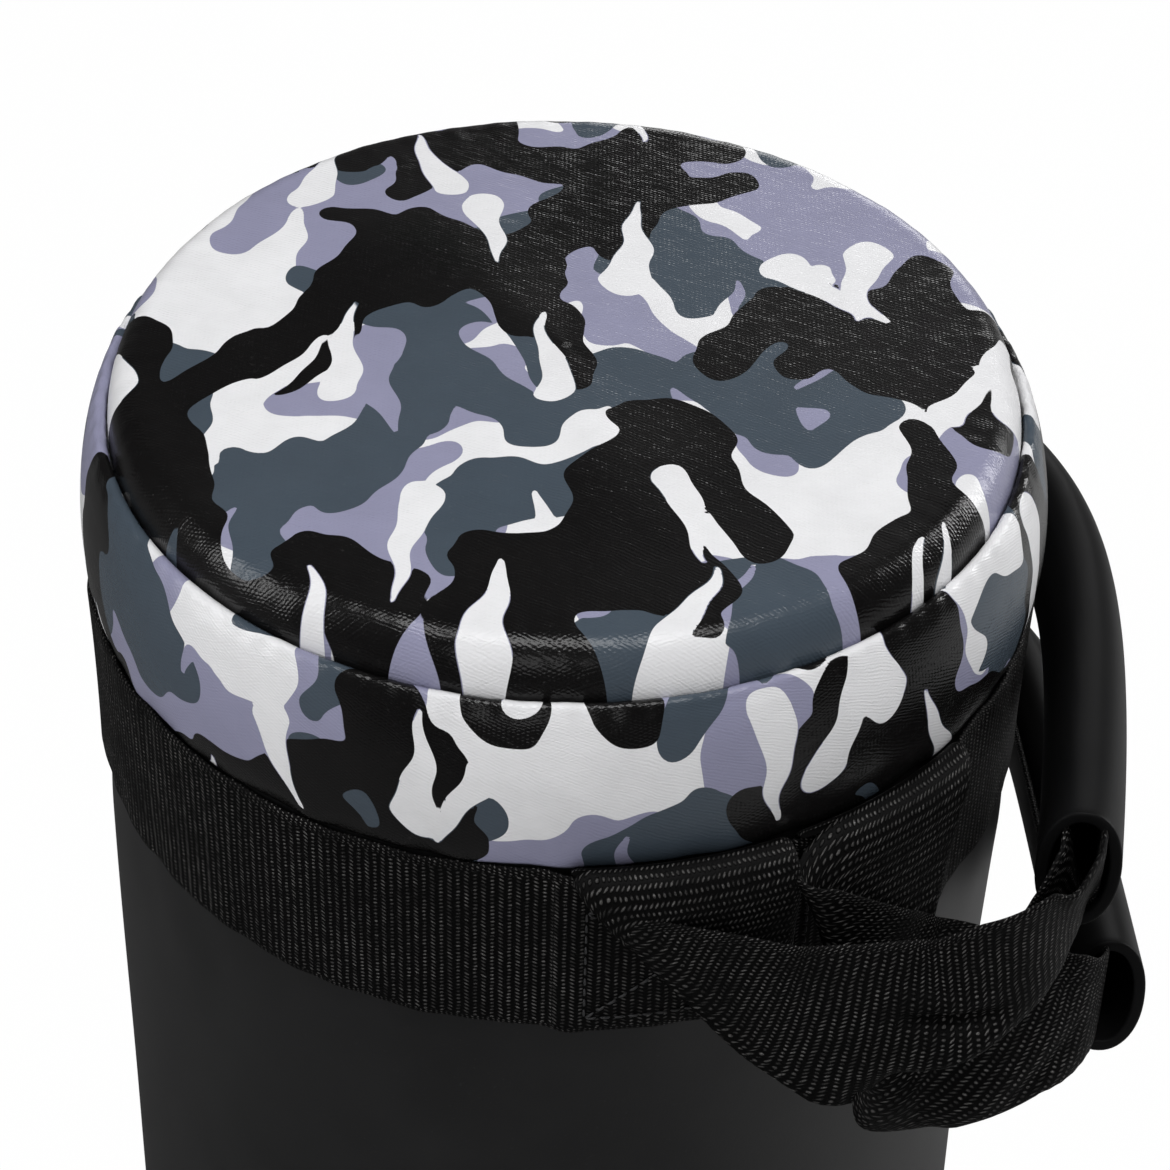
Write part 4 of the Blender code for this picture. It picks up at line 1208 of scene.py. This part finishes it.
def floor_material():
    """White where the camera sees it, and a pale floor for the lamps' light. In reflections it
    carries
    painted shade: it is darker there, and a little less so on the right."""
    mat, tree = new_material("studio_floor")
    shader = tree.nodes["Principled BSDF"]
    shader.inputs["Roughness"].default_value = 0.9
    shader.inputs["Specular IOR Level"].default_value = 0.1
    glow = node(tree, "ShaderNodeEmission", in_Color=grey(1), in_Strength=1.0)
    rays = tree.nodes.new("ShaderNodeLightPath").outputs
    place = node(tree, "ShaderNodeSeparateXYZ", in_Vector=object_place(tree))
    # Painted shade, seen only in reflections: darker, and lighter towards the right.
    painted_shade_in_reflections = scaled(tree, ramp(tree, place.outputs[0], 2.4, -0.40), 0.35, -0.675)
    tone = scaled(tree, rays["Is Glossy Ray"], painted_shade_in_reflections, 0.80)
    colour = node(tree, "ShaderNodeCombineColor", in_Red=tone, in_Green=tone, in_Blue=tone)
    put(tree, shader.inputs["Base Color"], colour.outputs[0])
    seen = times(tree, rays["Is Camera Ray"], 0.985)
    mix = node(tree, "ShaderNodeMixShader", in_0=seen, in_1=shader.outputs[0], in_2=glow.outputs[0])
    put(tree, tree.nodes["Material Output"].inputs["Surface"], mix.outputs[0])
    return mat


def make_studio():
    """Pale floor and backdrop, soft lamps, and the camera at the photograph's angle."""
    mat = floor_material()
    planes = []
    for name, place, tilt in (("studio_floor", (0, 0, -0.0005), 0),
                              ("studio_backdrop", (0, 3.0, 3.0), math.pi / 2)):
        bpy.ops.mesh.primitive_plane_add(size=6.0, location=place, rotation=(tilt, 0, 0))
        planes.append(bpy.context.object)
        planes[-1].name = name
        planes[-1].data.materials.append(mat)

    world = bpy.data.worlds.new("studio")
    bpy.context.scene.world = world
    world.use_nodes = True
    tree = world.node_tree
    rays = tree.nodes.new("ShaderNodeLightPath").outputs
    indirect = scaled(tree, rays["Is Diffuse Ray"], 0.36, 0.03)
    strength = scaled(tree, rays["Is Camera Ray"], 0.97, indirect)
    background = tree.nodes["Background"]
    put(tree, background.inputs["Color"], grey(1))
    put(tree, background.inputs["Strength"], strength)

    for name, place, aim_z, width, height, power in (
        ("overhead_softbox", (0.0, -0.35, 2.0), 0.5, 1.3, 0.55, 13.5),
        ("left_softbox", (-1.9, -0.5, 1.2), 0.45, 0.35, 1.5, 11.0),
        ("right_softbox", (1.75, 0.75, 1.1), 0.45, 0.35, 1.5, 15.0),
        ("front_fill", (-0.3, -2.2, 1.5), 0.5, 1.0, 0.8, 4.0),
        ("back_fill", (0.5, 2.2, 0.75), 0.45, 1.0, 0.6, 6.0),
    ):
        lamp = bpy.data.lights.new(name, "AREA")
        lamp.shape = "RECTANGLE"
        lamp.size, lamp.size_y, lamp.energy = width, height, power
        holder = link_object(name, lamp)
        holder.location = place
        aim = Vector((0, 0, aim_z)) - Vector(place)
        holder.rotation_euler = aim.to_track_quat("-Z", "Y").to_euler()

    camera = bpy.data.cameras.new("photo_camera")
    camera.sensor_width = SENSOR
    camera.lens = FOCAL_SHARE * SENSOR
    camera.clip_start = 0.05
    holder = link_object("photo_camera", camera)
    ahead = Vector((0, math.cos(ELEVATION), -math.sin(ELEVATION)))
    right = Vector((1, 0, 0))
    right = right * math.cos(ROLL) + right.cross(ahead) * math.sin(ROLL)
    ahead = (ahead + right * SIDE_AIM).normalized()
    right = (right - ahead * right.dot(ahead)).normalized()
    turn = Matrix((right, right.cross(ahead), -ahead)).transposed().to_4x4()
    holder.matrix_world = Matrix.Translation(CAMERA_PLACE) @ turn
    bpy.context.scene.camera = holder
    bpy.context.scene.view_settings.view_transform = "Standard"


def build():
    """The whole bag."""
    mats = make_materials()
    make_panel("top_panel", 1, 44, mats["camo"])
    make_panel("bottom_panel", -1, 84, mats["camo"])
    make_skirt("top_skirt", 1, 82, mats["camo"])
    make_skirt("bottom_skirt", -1, 14, mats["camo"])
    make_sleeve(mats["vinyl"])
    roots = [spec["root"] for spec in HANDLES.values()]
    backs = [2 * PAIR_AZIMUTH + 180 - root for root in roots]
    make_band("upper_band", SEAM_Z - WEBBING, roots + backs, mats["webbing"])
    make_band("lower_band", CAP_HEIGHT, [], mats["webbing"])
    for which in HANDLES:
        make_strap(which, mats["webbing"])
        make_grip(which, mats["rubber"])
        for end in ("front", "back"):
            make_tab(which, end, mats["webbing"])
            box_and_cross(which, end, mats["thread"])
    for word, sign in (("top", 1), ("bottom", -1)):
        ring_stitches(f"{word}_seam_stitches", GROOVE_R + 0.0010,
                      on_cap(GROOVE_HEIGHT + 0.0004, sign), 212, 0.0020, 0.00020, 70 * sign,
                      mats["thread"])
    for word, z in (("low", CAP_HEIGHT + 0.0022), ("high", CAP_HEIGHT + WEBBING - 0.0022)):
        ring_stitches(f"lower_band_{word}_stitches", SLEEVE_R + 0.0003 + WEBBING_THICK + 0.0001, z,
                      236, 0.0024, 0.00026, 0, mats["thread"])
    make_filling(mats)


build()
make_studio()
